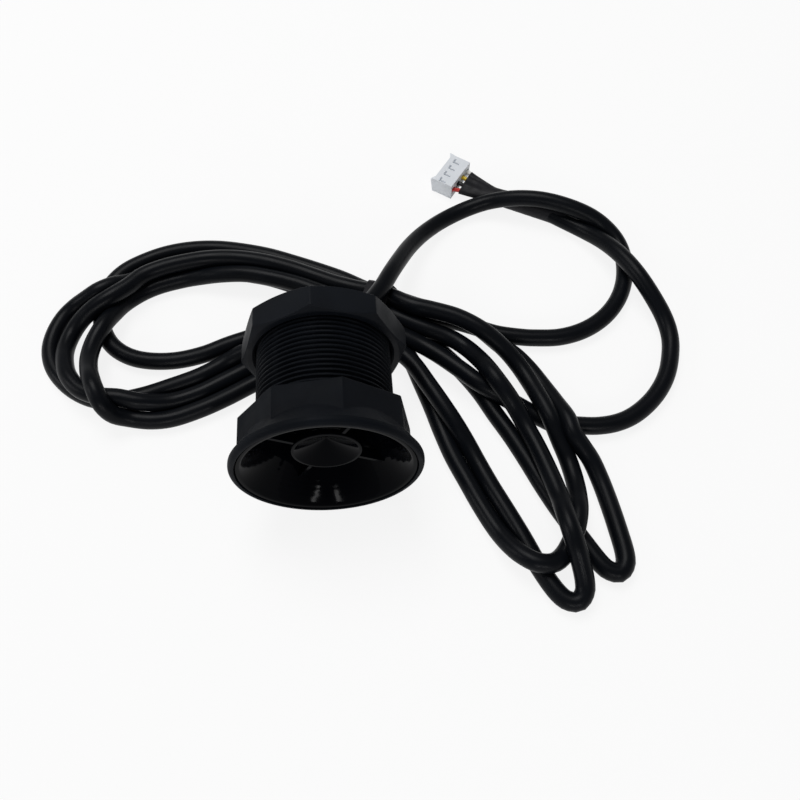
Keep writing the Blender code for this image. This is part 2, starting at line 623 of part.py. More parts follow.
def make_rear(mats, parent):
    """The cast seal that closes the barrel, and the rubber bushing that the cable leaves through."""
    seal_front = BOARD_REAR + GAP
    hole = BUSHING_RADIUS + GAP
    lathe(
        "rear_seal",
        [(seal_front, hole), (seal_front, BOARD_RADIUS), (SEAL_REAR, BOARD_RADIUS), (SEAL_REAR, hole)],
        mats["resin"], parent,
    )
    lathe(
        "cable_bushing",
        [(seal_front, 0.0), (seal_front, BUSHING_RADIUS), (BODY_REAR, BUSHING_RADIUS),
         (BUSHING_MOUTH, BUSHING_NECK), (BUSHING_MOUTH, CORD_DIAMETER / 2 + GAP),
         (BUSHING_MOUTH - BUSHING_DEPTH, CORD_DIAMETER / 2 + GAP), (BUSHING_MOUTH - BUSHING_DEPTH, 0.0)],
        mats["rubber"], parent, SMALL_STEPS,
    )


def waist_sides(x):
    """The near and the far side of the hank's middle at x."""
    outline = np.asarray(WAIST_OUTLINE) * MM
    following = np.roll(outline, -1, axis=0)
    crossings = []
    for a, b in zip(outline, following):
        if min(a[0], b[0]) <= x <= max(a[0], b[0]) and a[0] != b[0]:
            crossings.append(a[1] + (b[1] - a[1]) * (x - a[0]) / (b[0] - a[0]))
    return min(crossings), max(crossings)


def make_cord(mats):
    """The cable's free stretches, the solids of its loops and the tie round the middle of the hank."""
    lead_out = np.vstack([on_axis(BUSHING_MOUTH + CORD_DIAMETER / 4), np.asarray(LEAD_OUT_ROUTE) * MM])
    free_cord("cord_lead_out", lead_out, mats["cord"], on_axis(CORD_START))
    free_cord("cord_plug_run", np.asarray(PLUG_RUN_ROUTE) * MM, mats["cord"])
    loop_solid("cord_loops_left", LEFT_OUTER, LEFT_INNER, HANK_HEIGHT, mats["cord"])
    loop_solid("cord_loops_right", RIGHT_OUTER, RIGHT_INNER, HANK_HEIGHT, mats["cord"])
    plate("cord_waist", WAIST_OUTLINE, WAIST_LIFT, HANK_HEIGHT, mats["cord"])

    near, far = waist_sides(TIE_PLACE)
    reach = GAP + TIE_WIRE / 2
    low = WAIST_LIFT - reach
    high = HANK_HEIGHT + reach
    corner = 1.2 * MM
    corners = [(near - reach, low), (far + reach, low), (far + reach, high), (near - reach, high)]
    path = []
    for k, (y, z) in enumerate(corners):
        centre = (y + (corner if y < far else -corner), z + (corner if z < high else -corner))
        for a in np.linspace(0.0, math.pi / 2, 5):
            turn = math.pi + k * math.pi / 2 + a
            path.append((TIE_PLACE, centre[0] + corner * math.cos(turn), centre[1] + corner * math.sin(turn)))
    wire = tube("tie_loop", path, TIE_WIRE, mats["tie"])
    wire.data.splines[0].use_cyclic_u = True
    mesh = bpy.data.meshes.new_from_object(wire.evaluated_get(bpy.context.evaluated_depsgraph_get()))
    bpy.data.objects.remove(wire, do_unlink=True)
    tie = add_object("twist_tie", mesh)
    twist = rod("tie_twist", TIE_WIRE, -TIE_WIRE, TIE_TWIST, steps=16)
    twist.location = (TIE_PLACE, far + TIE_WIRE + 2 * GAP, low + 0.6 * (high - low))
    twist.rotation_euler = (0.0, 0.0, math.radians(50))
    boolean(tie, twist, "UNION")


def plug_point(behind):
    """The point behind the plug's middle, on the line of its leads."""
    place = Vector((*PLUG_PLACE, PLUG_HEIGHT / 2))
    return np.asarray(place - behind * Vector((math.cos(PLUG_HEADING), math.sin(PLUG_HEADING), 0.0)))


def make_sleeve(mat):
    """The heat-shrink sleeve: round on the cable, pressed flat where the four leads leave it.

    It lies on the ground and rises to the height of the leads at its flat end, square to the plug."""
    mouth = plug_point(PLUG_LENGTH / 2 + PLUG_LEAD + GAP)
    rows = smooth_curve(SLEEVE_ROUTE + [(mouth[0] / MM, mouth[1] / MM, 1.0)], per_span=2)
    share = rows[:, 2]
    half_width = (SLEEVE_START + (SLEEVE_END - SLEEVE_START) * share) / 2
    half_height = (SLEEVE_START + (SLEEVE_THICKNESS - SLEEVE_START) * share) / 2
    level = half_height + (PLUG_HEIGHT - SLEEVE_THICKNESS) / 2 * share**4
    middle = np.column_stack([rows[:, :2] * MM, level])
    ahead = np.gradient(middle, axis=0)
    ahead[-1] = plug_point(0.0) - mouth
    ahead /= np.linalg.norm(ahead, axis=1)[:, None]
    across = np.cross(ahead, (0.0, 0.0, 1.0))
    across /= np.linalg.norm(across, axis=1)[:, None]
    up = np.cross(across, ahead)
    angles = np.linspace(0.0, math.tau, 16, endpoint=False)
    bm = bmesh.new()
    rings = []
    for centre, side, top, width, height in zip(middle, across, up, half_width, half_height):
        rings.append([
            bm.verts.new(centre + side * width * math.cos(a) + top * height * math.sin(a)) for a in angles
        ])
    for ring, following in zip(rings, rings[1:]):
        for k in range(len(angles)):
            n = (k + 1) % len(angles)
            bm.faces.new((ring[k], ring[n], following[n], following[k]))
    bm.faces.new(rings[0][::-1])
    bm.faces.new(rings[-1])
    return finish_mesh(bm, "heat_shrink_sleeve", mat)


def make_plug(mats):
    """The four-way crimp housing with its contacts, and the four leads from the sleeve."""
    frame = add_object("plug_frame", None)
    frame.location = (*PLUG_PLACE, 0.0)
    frame.rotation_euler = (0.0, 0.0, PLUG_HEADING - math.pi / 2)
    rear = -PLUG_LENGTH / 2
    level = PLUG_HEIGHT / 2
    lip = 1.6 * MM
    size = (PLUG_WIDTH, PLUG_LENGTH, PLUG_HEIGHT)
    shell = box("plug_housing", size, (0.0, 0.0, level), mats["nylon"], frame)
    flange = box("plug_lip", (PLUG_WIDTH + 0.6 * MM, lip, PLUG_HEIGHT - 1.0 * MM),
                 (0.0, PLUG_LENGTH / 2 - lip / 2, level), None, frame)
    boolean(shell, flange, "UNION")
    colours = ("lead_red", "lead_black", "lead_yellow", "lead_white")
    for k, name in enumerate(colours):
        x = (k - (PLUG_WAYS - 1) / 2) * PLUG_PITCH
        cavity = box(f"plug_cavity_{k + 1}", (PLUG_CAVITY, PLUG_LENGTH + 2 * lip, PLUG_CAVITY),
                     (x, 0.0, level), None, frame)
        boolean(shell, cavity, "DIFFERENCE")
        window = box(f"plug_window_{k + 1}", (PLUG_CAVITY * 0.6, PLUG_LENGTH * 0.24, PLUG_HEIGHT),
                     (x, PLUG_LENGTH * 0.02, PLUG_HEIGHT), None, frame)
        boolean(shell, window, "DIFFERENCE")
        outer = PLUG_CAVITY - 2 * GAP
        contact_rear = rear + 2.0 * MM
        contact_front = PLUG_LENGTH / 2 - 0.6 * MM
        contact = box(f"plug_contact_{k + 1}", (outer, contact_front - contact_rear, outer),
                      (x, (contact_front + contact_rear) / 2, level), mats["tin"], frame)
        hollow = box(f"contact_hollow_{k + 1}", (outer * 0.55, PLUG_LENGTH, outer * 0.55),
                     (x, contact_rear + PLUG_LENGTH / 2 + 1.5 * MM, level), None, frame)
        boolean(contact, hollow, "DIFFERENCE")
        rod(name, WIRE_DIAMETER / 2, rear - PLUG_LEAD, contact_rear - GAP, (x, level), mats[name], frame, 12)


def main():
    clear_scene()
    mats = {
        "housing": make_material("matte_black_plastic", (0.012, 0.013, 0.015), 0.55),
        "nut": make_material("black_nylon", (0.014, 0.015, 0.017), 0.5),
        "horn": make_material("gloss_black_plastic", (0.006, 0.006, 0.008), 0.12),
        "rubber": make_material("black_rubber", (0.01, 0.01, 0.01), 0.8),
        "aluminium": make_material("aluminium", (0.75, 0.76, 0.78), 0.35, 1.0),
        "ceramic": make_material("piezo_ceramic", (0.55, 0.5, 0.38), 0.6),
        "silicone": make_material("white_silicone", (0.8, 0.8, 0.78), 0.6),
        "transducer_wire_ground": make_material("black_wire", (0.012, 0.012, 0.012), 0.4),
        "transducer_wire_signal": make_material("red_wire", (0.5, 0.02, 0.02), 0.4),
        "board": make_material("green_board", (0.01, 0.12, 0.05), 0.4),
        "chip": make_material("chip_epoxy", (0.015, 0.015, 0.016), 0.5),
        "ferrite": make_material("ferrite", (0.05, 0.05, 0.055), 0.6),
        "copper": make_material("enamelled_copper", (0.6, 0.25, 0.1), 0.3, 1.0),
        "steel": make_material("nickel_steel", (0.6, 0.6, 0.6), 0.3, 1.0),
        "resin": make_material("black_resin", (0.008, 0.008, 0.009), 0.25),
        "cord": make_material("black_cord", (0.01, 0.01, 0.012), 0.42),
        "tie": make_material("black_tie", (0.012, 0.012, 0.012), 0.5),
        "sleeve": make_material("black_sleeve", (0.01, 0.01, 0.011), 0.5),
        "nylon": make_material("white_nylon", (0.75, 0.76, 0.76), 0.5),
        "tin": make_material("tinned_bronze", (0.7, 0.7, 0.68), 0.3, 1.0),
        "lead_red": make_material("red_lead", (0.6, 0.02, 0.02), 0.4),
        "lead_black": make_material("black_lead", (0.01, 0.01, 0.01), 0.4),
        "lead_yellow": make_material("yellow_lead", (0.7, 0.55, 0.02), 0.4),
        "lead_white": make_material("white_lead", (0.7, 0.7, 0.68), 0.4),
    }
    sensor = add_object("sensor_axis", None)
    sensor.matrix_world = AXIS_FRAME
    make_housing(mats["housing"], sensor)
    make_lock_nut(mats["nut"], sensor)
    make_horn(mats["horn"], sensor)
    make_transducer(mats, sensor)
    make_board(mats, sensor)
    make_rear(mats, sensor)
    make_cord(mats)
    make_sleeve(mats["sleeve"])
    make_plug(mats)


main()
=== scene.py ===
"""Horn-type ultrasonic distance sensor with its lock nut and its folded cable, dressed for a picture.

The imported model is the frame. Every new piece is a surface worked out as whole arrays, in metres, in the
frame's own coordinates, and stands where the solid stands that it replaces. The sensor's pieces are turned
about its axis: distances along it run to the rear from the rim's widest circle, and angles are measured from
+X towards the sensor's upper side.
"""
import json
import math

import bpy
import numpy as np
from bpy.props import FloatProperty, FloatVectorProperty, IntProperty, PointerProperty
from mathutils import Matrix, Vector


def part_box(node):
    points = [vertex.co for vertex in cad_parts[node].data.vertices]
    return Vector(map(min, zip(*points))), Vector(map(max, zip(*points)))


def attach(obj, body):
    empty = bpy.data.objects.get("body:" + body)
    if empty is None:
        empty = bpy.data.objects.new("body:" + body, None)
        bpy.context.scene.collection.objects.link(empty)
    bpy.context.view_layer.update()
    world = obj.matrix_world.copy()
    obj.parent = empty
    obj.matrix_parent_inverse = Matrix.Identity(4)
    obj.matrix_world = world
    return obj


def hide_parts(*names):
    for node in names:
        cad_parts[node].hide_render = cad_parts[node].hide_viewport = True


bl_info = {
    "name": "Ultrasonic sensor",
    "version": (1, 0, 0),
    "blender": (4, 5, 0),
    "location": "View3D > Sidebar > Sensor",
    "description": "Builds the visible surfaces of a horn-type ultrasonic sensor over its packed model",
    "category": "Object",
}

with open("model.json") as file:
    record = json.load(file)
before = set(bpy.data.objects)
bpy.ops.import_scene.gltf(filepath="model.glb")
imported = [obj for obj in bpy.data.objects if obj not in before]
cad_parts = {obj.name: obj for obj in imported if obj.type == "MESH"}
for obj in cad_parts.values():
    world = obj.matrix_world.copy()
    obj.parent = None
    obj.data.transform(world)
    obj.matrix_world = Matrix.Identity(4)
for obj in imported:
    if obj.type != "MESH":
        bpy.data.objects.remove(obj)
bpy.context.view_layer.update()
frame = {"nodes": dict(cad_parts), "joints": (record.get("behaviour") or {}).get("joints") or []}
MM = 0.001
GAP = 0.3 * MM

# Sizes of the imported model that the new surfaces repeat
RIM_LAND = 0.5 * MM
RIM_NOSE = 1.3 * MM
RIM_STEP = 0.45 * MM
LIP_INSET = 1.2 * MM
RIM_WALL = 2.2 * MM
FLARE_ANGLE = math.radians(33.5)
COLLAR_REAR = 12.7 * MM
COLLAR_TURN = math.radians(75.6)
THREAD_RADIUS = 18.0 * MM
BODY_REAR = 42.0 * MM
BORE_RADIUS = 15.2 * MM
BOARD_SEAT = 35.2 * MM
SEAL_BORE_RADIUS = 15.9 * MM
NUT_THICKNESS = 8.0 * MM
NUT_FRONT = 33.0 * MM
NUT_TURN = math.radians(94.2)
NUT_CHAMFER = math.radians(30)
HORN_WALL = 1.4 * MM
HORN_THROAT_RADIUS = 8.6 * MM
HORN_DEPTH = 16.5 * MM
HORN_CURVE = 1.25
HORN_SEAT = 0.4 * MM
HORN_FLANGE = 0.35 * MM
SOCKET_LENGTH = 7.0 * MM
SOCKET_RADIUS = 9.6 * MM
RING_RADIUS = 9.1 * MM
RING_EDGE = 0.8 * MM
RING_FRONT = 4.3 * MM
RING_LENGTH = 1.7 * MM
CONE_DEPTH = 4.0 * MM
CONE_WALL = 1.4 * MM
RIB_COUNT = 4
RIB_TURN = math.radians(60)
BUSHING_RADIUS = 4.6 * MM
BUSHING_NECK = 3.7 * MM
BUSHING_MOUTH = 45.6 * MM
BUSHING_DEPTH = 2.6 * MM
SEAL_FRONT = 37.4 * MM
PLUG_WAYS = 4
PLUG_PITCH = 3.1 * MM
PLUG_WIDTH = 12.6 * MM
PLUG_LENGTH = 7.8 * MM
PLUG_HEIGHT = 5.8 * MM
PLUG_CAVITY = 1.9 * MM
PLUG_LEAD = 1.6 * MM
PLUG_PLACE = np.array([43.6, 93.6, 2.9]) * MM
PLUG_HEADING = math.radians(144.5)

# A contact's tube: how far ahead each ring is and half its width (millimetres), and the ring for a half of 1
CONTACT_OUTLINE = ((-1.15, 0.65), (2.3, 0.65), (2.42, 0.58), (2.42, 0.42), (2.3, 0.36), (-1.15, 0.36))
CONTACT_SECTION = ((1, 1), (0, 1.02), (-1, 1), (-1.02, 0), (-1, -1), (0, -1.02), (1, -1), (1.02, 0))

# The cable from the bushing over the hank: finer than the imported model's lead-out (millimetres)
LEAD_OUT_ROUTE = [
    (0.3, 27.7, 22), (2, 30.3, 20.7), (6, 31.9, 18.8), (9.3, 32.5, 17.6), (13.2, 34.7, 16.4),
    (16.7, 39.4, 15.4), (20.4, 46.8, 13.6), (23.8, 54, 10.8), (27.3, 60.9, 7.8), (31.8, 67.5, 5.1),
    (37.6, 73.3, 3.3), (43.6, 77.2, 2.7), (49.1, 79.3, 3.2), (54.8, 79.9, 4.7), (62.6, 78.4, 7.5),
    (70.5, 76.2, 8.9), (78.4, 73.2, 8.8), (85.9, 69.7, 7.4), (90.6, 66.6, 5.4), (94, 62, 3.8),
    (95.3, 56.3, 2.9), (94.2, 48, 2.7), (90.9, 40.4, 2.7), (85.5, 34, 2.7), (78.4, 29.5, 2.7),
    (70.3, 27.4, 2.7), (61.9, 27.7, 2.7),
]

# The hank, strand after strand: right end to left end and back, four times (millimetres)
HANK_ROUTE = [
    (59.6, 28, 2.7), (51.4, 29.9, 2.7), (43.8, 33.3, 2.7), (36, 36.4, 2.7), (30.3, 38.2, 2.7),
    (24.3, 38.6, 2.9), (18.7, 39.3, 3.4), (13.3, 41.4, 3.1), (5.6, 44.8, 2.7), (-2.1, 48.2, 2.7),
    (-9.6, 52, 2.7), (-17.2, 55.4, 2.7), (-25.3, 57.8, 2.7), (-33.2, 60.5, 2.7), (-39.1, 61.9, 2.7),
    (-45, 61.8, 2.7), (-50.9, 60.6, 2.7), (-56.5, 58.5, 2.9), (-61.2, 55.5, 4.6), (-64.7, 53.4, 6.5),
    (-68.6, 51, 7.2), (-72.5, 49.3, 5.8), (-76.4, 47.8, 3.9), (-79.7, 44.7, 2.9), (-82, 39.2, 2.7),
    (-82.6, 33.3, 2.7), (-81.1, 27.5, 2.7), (-77.8, 22.5, 2.7), (-73.4, 18.4, 2.7), (-68.2, 15.6, 2.7),
    (-62.3, 14.6, 2.7), (-54, 15.8, 2.7), (-46, 18.2, 2.7), (-38.1, 21, 2.7), (-32.7, 23.7, 2.8),
    (-28.5, 25.8, 3.6), (-24.6, 26.8, 5.4), (-18.3, 26, 7.6), (-12.3, 26.4, 7.4), (-4, 27.6, 7.4),
    (4.3, 28, 7.9), (10.2, 27.5, 8.2), (15.9, 25.8, 7.6), (21.1, 22.9, 7.2), (24.8, 18.5, 7.6),
    (28.7, 11.1, 7.8), (32.6, 3.7, 7.3), (35.4, -1.4, 6.1), (38.1, -6.2, 3.9), (40.4, -11.5, 2.8),
    (43.5, -19.3, 2.7), (46.9, -27, 2.7), (50.2, -34.7, 2.7), (53.3, -42.6, 2.7), (56.1, -48.3, 2.7),
    (57.5, -50.5, 2.7), (59.3, -52.3, 2.7), (62.1, -53, 3), (64, -50.9, 3.8), (64.3, -48.6, 4.8),
    (63.3, -43.3, 8.1), (62.4, -40.4, 10.1), (61.5, -35.9, 11.3), (61, -31.5, 10.6), (60.7, -26.1, 8.5),
    (59.1, -17.9, 7.4), (57.1, -9.8, 6.6), (55.3, -4.2, 6.3), (53, 1.1, 7.8), (50.1, 5.4, 10.6),
    (47.7, 9.2, 11.8), (45.9, 13.3, 11), (44, 18.2, 8.6), (41, 23.1, 6.9), (36.6, 26.9, 6.8),
    (29.1, 30.4, 7.6), (21.7, 34.3, 8), (14.4, 38.4, 8.1), (6.9, 42, 7.4), (-0.8, 45.4, 7.4),
    (-8.3, 49.1, 7.4), (-16.1, 52.2, 7.1), (-24.2, 54.5, 6.8), (-32.3, 55.8, 5.5), (-38, 56.6, 3.9),
    (-43.8, 56.6, 2.9), (-52, 54.7, 2.7), (-57.4, 52.1, 2.7), (-61.8, 48.2, 3.3), (-64.1, 43.3, 5.3),
    (-65.9, 38.4, 7.2), (-68.2, 32.7, 7.3), (-69, 26.9, 7.8), (-68, 21.4, 9.6), (-66.5, 17.4, 11.4),
    (-64.8, 13.3, 11.9), (-63.1, 9.7, 9.9), (-61, 8.3, 6.4), (-57.3, 8.2, 3.7), (-51.5, 7.5, 2.7),
    (-45.5, 7.7, 2.7), (-37.5, 10.1, 2.7), (-29.8, 13.5, 2.7), (-22.4, 17.4, 2.7), (-14.8, 21.1, 2.7),
    (-7.1, 24.4, 2.7), (0.8, 27.3, 2.7), (7.7, 29, 3.1), (13.6, 29.4, 3.5), (18.3, 28.7, 3.1),
    (22.3, 26.5, 2.7), (24.7, 22.5, 2.7), (27.2, 14.5, 2.7), (29.6, 6.4, 2.7), (31.7, -1.7, 2.7),
    (34.1, -9.7, 2.7), (37.2, -17.5, 2.7), (40.4, -25.3, 2.7), (43.9, -32.9, 3.4), (46.6, -37.8, 5.3),
    (48.7, -40.5, 6.5), (52.4, -43.2, 7.3), (56.6, -43.4, 6.7), (60, -41, 5.7), (62.7, -37.2, 6.3),
    (64.2, -34, 7), (65.6, -29.7, 6.6), (66.6, -24.5, 4.5), (66.8, -18.7, 3), (66, -12.8, 3), (64.2, -7.6, 5),
    (62.4, -2.4, 7.2), (60.7, 3.1, 7.2), (58.2, 10.9, 6.1), (55.6, 16.3, 6.6), (52.2, 20.8, 8.2),
    (46.2, 26, 10.9), (39.3, 30.6, 11.8), (31.6, 33.8, 11.9), (25.9, 35.8, 11.9), (21.3, 39.2, 11),
    (16.9, 43.7, 8.5), (11.6, 45.8, 7.2), (3.7, 48.9, 6.8), (-3.8, 52.6, 6.7), (-11.5, 56, 7),
    (-19.4, 58.7, 7.2), (-27.7, 60.2, 7.5), (-36, 60.5, 7.6), (-44.4, 59.6, 7.3), (-50.2, 58.2, 7.2),
    (-55.6, 55.7, 7.3), (-59.6, 51.4, 8), (-64.1, 47.6, 8.6), (-69.1, 44.6, 7.7), (-73.5, 41.4, 5.6),
    (-76.1, 37.7, 4.4), (-77.3, 32.1, 4.8), (-76.5, 26.5, 6.3), (-74.5, 21.1, 7.5), (-70.7, 16.4, 7.7),
    (-65.4, 13.9, 7.6), (-59.5, 13.1, 7.3), (-53.8, 12, 6.1), (-45.9, 12.8, 3.5), (-38, 15.4, 2.7),
    (-30.5, 19.1, 2.7), (-23.1, 22.9, 2.8), (-15.9, 27, 2.7), (-8, 29.9, 2.7), (0, 32.5, 2.7),
    (8.1, 34.3, 2.9), (14, 34.5, 3.5), (21, 33.7, 3.1), (25.7, 33.4, 2.7), (29.4, 30.9, 2.7),
    (34.4, 24.1, 2.7), (39.5, 17.4, 2.7), (43.9, 10.3, 2.7), (47.5, 2.8, 2.7), (51.3, -4.7, 2.7),
    (54.7, -12.4, 2.7), (57.9, -20.2, 2.7), (61.4, -27.8, 2.7), (65.4, -35.3, 2.7), (68.4, -40.9, 2.7),
    (69.7, -43.1, 2.7), (71.4, -45.1, 2.7), (74.2, -46.1, 2.7), (76.2, -44.1, 2.7), (76.7, -41.6, 2.7),
    (76.1, -33.8, 2.7), (75, -25.4, 2.7), (73.9, -19.6, 3), (72.2, -14.2, 4.1), (69.9, -10.6, 5.9),
    (67.7, -7.1, 7.4), (66.9, -2.6, 7.4), (64.9, 3.6, 5.4), (62.2, 11, 3.3), (59.5, 16.6, 2.8),
    (56.1, 21.4, 3), (51.5, 24.8, 4.5), (45.4, 29.8, 6.9), (38.3, 34.2, 7.6), (31.6, 36.8, 7.7),
    (28.1, 38.1, 7.7), (24.3, 40.5, 6.9), (19.8, 44.7, 4.3), (12.8, 48.9, 2.8), (5.6, 53.4, 2.7),
    (-1.9, 57.2, 2.7), (-9.5, 60.7, 2.7), (-17.3, 64, 2.7), (-25.3, 66.4, 2.7), (-33.5, 68.1, 2.7),
    (-41.9, 68.4, 2.7), (-50.2, 67.1, 2.7), (-58, 64, 2.7), (-63, 60.7, 2.7), (-66.6, 56.1, 2.6),
    (-68, 50.2, 2.7), (-68.5, 44.3, 2.7), (-67.2, 38.5, 2.7), (-64.1, 33.4, 2.7), (-59.4, 29.7, 2.7),
    (-53.8, 27.7, 2.7), (-45.4, 27.1, 2.7), (-37.1, 28.6, 2.7), (-29.3, 31.6, 2.7), (-21.3, 34, 2.7),
    (-15.3, 34.9, 3), (-9.7, 34.8, 4.5), (-4.4, 34, 6.8), (1.5, 33.6, 7.7), (9.9, 33.2, 8), (15.5, 31.6, 8.2),
    (23, 27.9, 7.4), (28.2, 24.9, 6.7), (32.8, 21.2, 6.8), (38.7, 15.3, 7.4), (42.9, 11, 7.6),
    (47.7, 7.9, 6.5), (52.5, 5.6, 4.2), (57.5, 2.7, 2.8), (60.4, 0.6, 2.7),
]

# The cable from the hank to its sleeve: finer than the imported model's run (millimetres)
PLUG_RUN_ROUTE = [
    (64.4, -1.8, 2.7), (70.2, -2.5, 2.7), (76.2, -3.1, 2.7), (82.1, -2.5, 2.7), (87.7, -0.3, 2.7),
    (94.3, 4.8, 2.7), (99.4, 11.5, 2.7), (102.5, 19.3, 2.7), (103.5, 25.1, 3.1), (102.7, 30.9, 4.4),
    (99.5, 38.1, 7.1), (95.9, 45.6, 8.7), (92.4, 53.2, 8.1), (88.9, 60.4, 5.8), (84.1, 66.9, 3.6),
    (77.8, 72.4, 3), (75, 74.6, 3),
]

# The sleeve's middle line: x, y (millimetres) and how flat it is (0 to 1)
SLEEVE_ROUTE = [
    (79.2, 72.1, 0.0), (75.8, 74.6, 0.1), (71.0, 77.2, 0.25), (65.6, 80.0, 0.4), (60.0, 83.0, 0.6),
    (54.4, 86.4, 0.85),
]

TIE_PLACE = np.array([16.4, 37.4, 0.0]) * MM
TIE_TURN = math.radians(22)
TIE_TURNS = (-4.7 * MM, 0.4 * MM)
TIE_STRANDS = 8
TIE_REACH = 15 * MM
TIE_TOP = 11.5 * MM
TIE_THICKNESS = 0.55 * MM
CORD_STEP = 1.2 * MM

# The camera at the photograph's viewing angle, and the stage
CAMERA_LENS = 38.25
CAMERA_SENSOR = 36.0
CAMERA_PLACE = np.array([11.38, -107.04, 220.48]) * MM
CAMERA_AHEAD = np.array([0.0370, 0.4705, -0.8816])
CAMERA_RIGHT = np.array([0.9974, -0.0715, 0.0037])
FLOOR_REACH = 3.0
FLOOR_WHITE = 0.86
HORIZON_STRENGTH = 0.62
ZENITH_STRENGTH = 0.16

# Each lamp: its name, its place, the point it faces, its two sides in metres and its power in watts
LAMPS = (
    ("box_above", (-0.15, 0.38, 0.95), (0.0, 0.02, 0.0), (0.55, 0.55), 6.2),
    ("box_left", (-0.90, -0.05, 0.50), (0.0, 0.0, 0.02), (0.30, 0.40), 1.7),
    ("strip_front_right", (0.24, -0.86, 0.50), (0.0, -0.03, 0.02), (0.055, 0.26), 1.1),
    ("strip_front_left", (-0.14, -0.87, 0.50), (0.0, -0.03, 0.02), (0.07, 0.26), 1.1),
)


def property_length(name, description, default):
    """A length that the user can change, in metres."""
    return FloatProperty(
        name=name, description=description, default=default, min=0.0, unit="LENGTH", precision=5
    )


def property_colour(name, description, default):
    """A colour that the user can change."""
    return FloatVectorProperty(
        name=name, description=description, default=default, subtype="COLOR", size=3, min=0.0, max=1.0
    )


class SensorSizes(bpy.types.PropertyGroup):
    """Sizes of the sensor's visible surfaces."""

    rim_radius: property_length("Rim radius", "Radius of the rim's widest circle", 24.6 * MM)
    collar_flats: property_length("Collar flats", "Width across the collar's wrench flats", 41.8 * MM)
    nut_flats: property_length("Nut flats", "Width across the lock nut's flats", 41.8 * MM)
    corner_round: property_length("Corner rounding", "Radius of the corners between two flats", 0.7 * MM)
    thread_pitch: property_length("Thread pitch", "Distance between two crests of the thread", 1.44 * MM)
    thread_depth: property_length("Thread depth", "Height of the thread's crests over its roots", 0.85 * MM)
    bell_ripple: property_length("Bell ripple", "Height of the moulding ripples in the bell", 0.006 * MM)
    rib_width: property_length("Rib width", "Thickness of the ribs that carry the cone", 1.1 * MM)
    cord_diameter: property_length("Cable width", "Outer diameter of the cable", 5.2 * MM)
    wire_diameter: property_length("Lead width", "Outer diameter of one lead", 1.4 * MM)
    sleeve_start: property_length("Sleeve width at the cable", "Width of the sleeve on the cable", 5.75 * MM)
    sleeve_end: property_length("Sleeve width at the leads", "Width of the sleeve at its flat end", 10.4 * MM)
    sleeve_thickness: property_length("Sleeve thickness", "Thickness of the sleeve at its flat end", 3.0 * MM)
    tie_width: property_length("Tie width", "Width of the tie's ribbon", 3.0 * MM)
    round_steps: IntProperty(
        name="Facets round a wire", description="How many facets a lead has round it",
        default=20, min=8, max=64,
    )


class SensorColours(bpy.types.PropertyGroup):
    """Colours of the sensor's finishes."""

    moulding: property_colour("Housing", "The housing's matte black plastic", (0.0036, 0.0046, 0.0066))
    nut: property_colour("Lock nut", "The lock nut's black nylon", (0.0044, 0.0056, 0.0080))
    bell: property_colour("Horn", "The horn's glossy black plastic", (0.0012, 0.0014, 0.0022))
    jacket: property_colour("Cable", "The cable's black jacket", (0.0030, 0.0037, 0.0052))
    rubber: property_colour("Rubber", "The bushing's black rubber", (0.008, 0.008, 0.009))
    sleeve: property_colour("Sleeve", "The heat-shrink sleeve", (0.008, 0.008, 0.01))
    nylon: property_colour("Plug", "The plug's white nylon", (0.71, 0.74, 0.78))
    red: property_colour("Red lead", "The red lead", (0.55, 0.02, 0.015))
    yellow: property_colour("Yellow lead", "The yellow lead", (0.78, 0.55, 0.03))
    black: property_colour("Black lead", "The black lead", (0.01, 0.01, 0.011))
    white: property_colour("White lead", "The white lead", (0.78, 0.78, 0.76))


# The sensor's own directions and the middle of its rim
REARWARD = -np.array([joint for joint in frame["joints"] if joint["name"] == "lock_nut_travel"][0]["axis"])
REARWARD /= np.linalg.norm(REARWARD)
SIDEWARD = np.array([1.0, 0.0, 0.0])
UPWARD = np.cross(SIDEWARD, REARWARD)
BOX_RIM_RADIUS = 24.6 * MM
RIM_CENTRE = np.array([
    0.0,
    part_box("housing")[0][1] + RIM_NOSE * REARWARD[1] + (BOX_RIM_RADIUS - LIP_INSET) * UPWARD[1],
    BOX_RIM_RADIUS * UPWARD[2] + RIM_LAND * UPWARD[1],
])


# Arrays to meshes


def on_axis(distance, x=0.0, z=0.0):
    """Points of the sensor's own frame: so far behind the rim, to the side and up."""
    distance, x, z = np.broadcast_arrays(distance, x, z)
    return RIM_CENTRE + distance[..., None] * REARWARD + x[..., None] * SIDEWARD + z[..., None] * UPWARD


def turned(distance, radius, angles):
    """Rings about the axis: distance and radius are one number a ring, or one for each ring and angle."""
    distance, radius = np.asarray(distance, float), np.asarray(radius, float)
    distance = distance[:, None] if distance.ndim == 1 else distance
    radius = radius[:, None] if radius.ndim == 1 else radius
    return on_axis(distance, radius * np.cos(angles), radius * np.sin(angles))


def skin(rings, loop=False):
    """A closed surface over rings: the last ring meets the first, or each end is a fan about its middle."""
    rows, columns, _ = rings.shape
    row = np.arange(rows if loop else rows - 1)[:, None]
    column = np.arange(columns)[None]
    right, below = (column + 1) % columns, (row + 1) % rows
    quads = np.stack([
        row * columns + column, row * columns + right, below * columns + right, below * columns + column
    ], -1).reshape(-1, 4)
    points = rings.reshape(-1, 3)
    if loop:
        return points, [quads]
    around, base, count = np.arange(columns), (rows - 1) * columns, rows * columns
    start = np.stack([np.roll(around, -1), around, np.full(columns, count)], -1)
    end = np.stack([base + around, base + np.roll(around, -1), np.full(columns, count + 1)], -1)
    return np.vstack([points, rings[:1].mean(1), rings[-1:].mean(1)]), [quads, start, end]


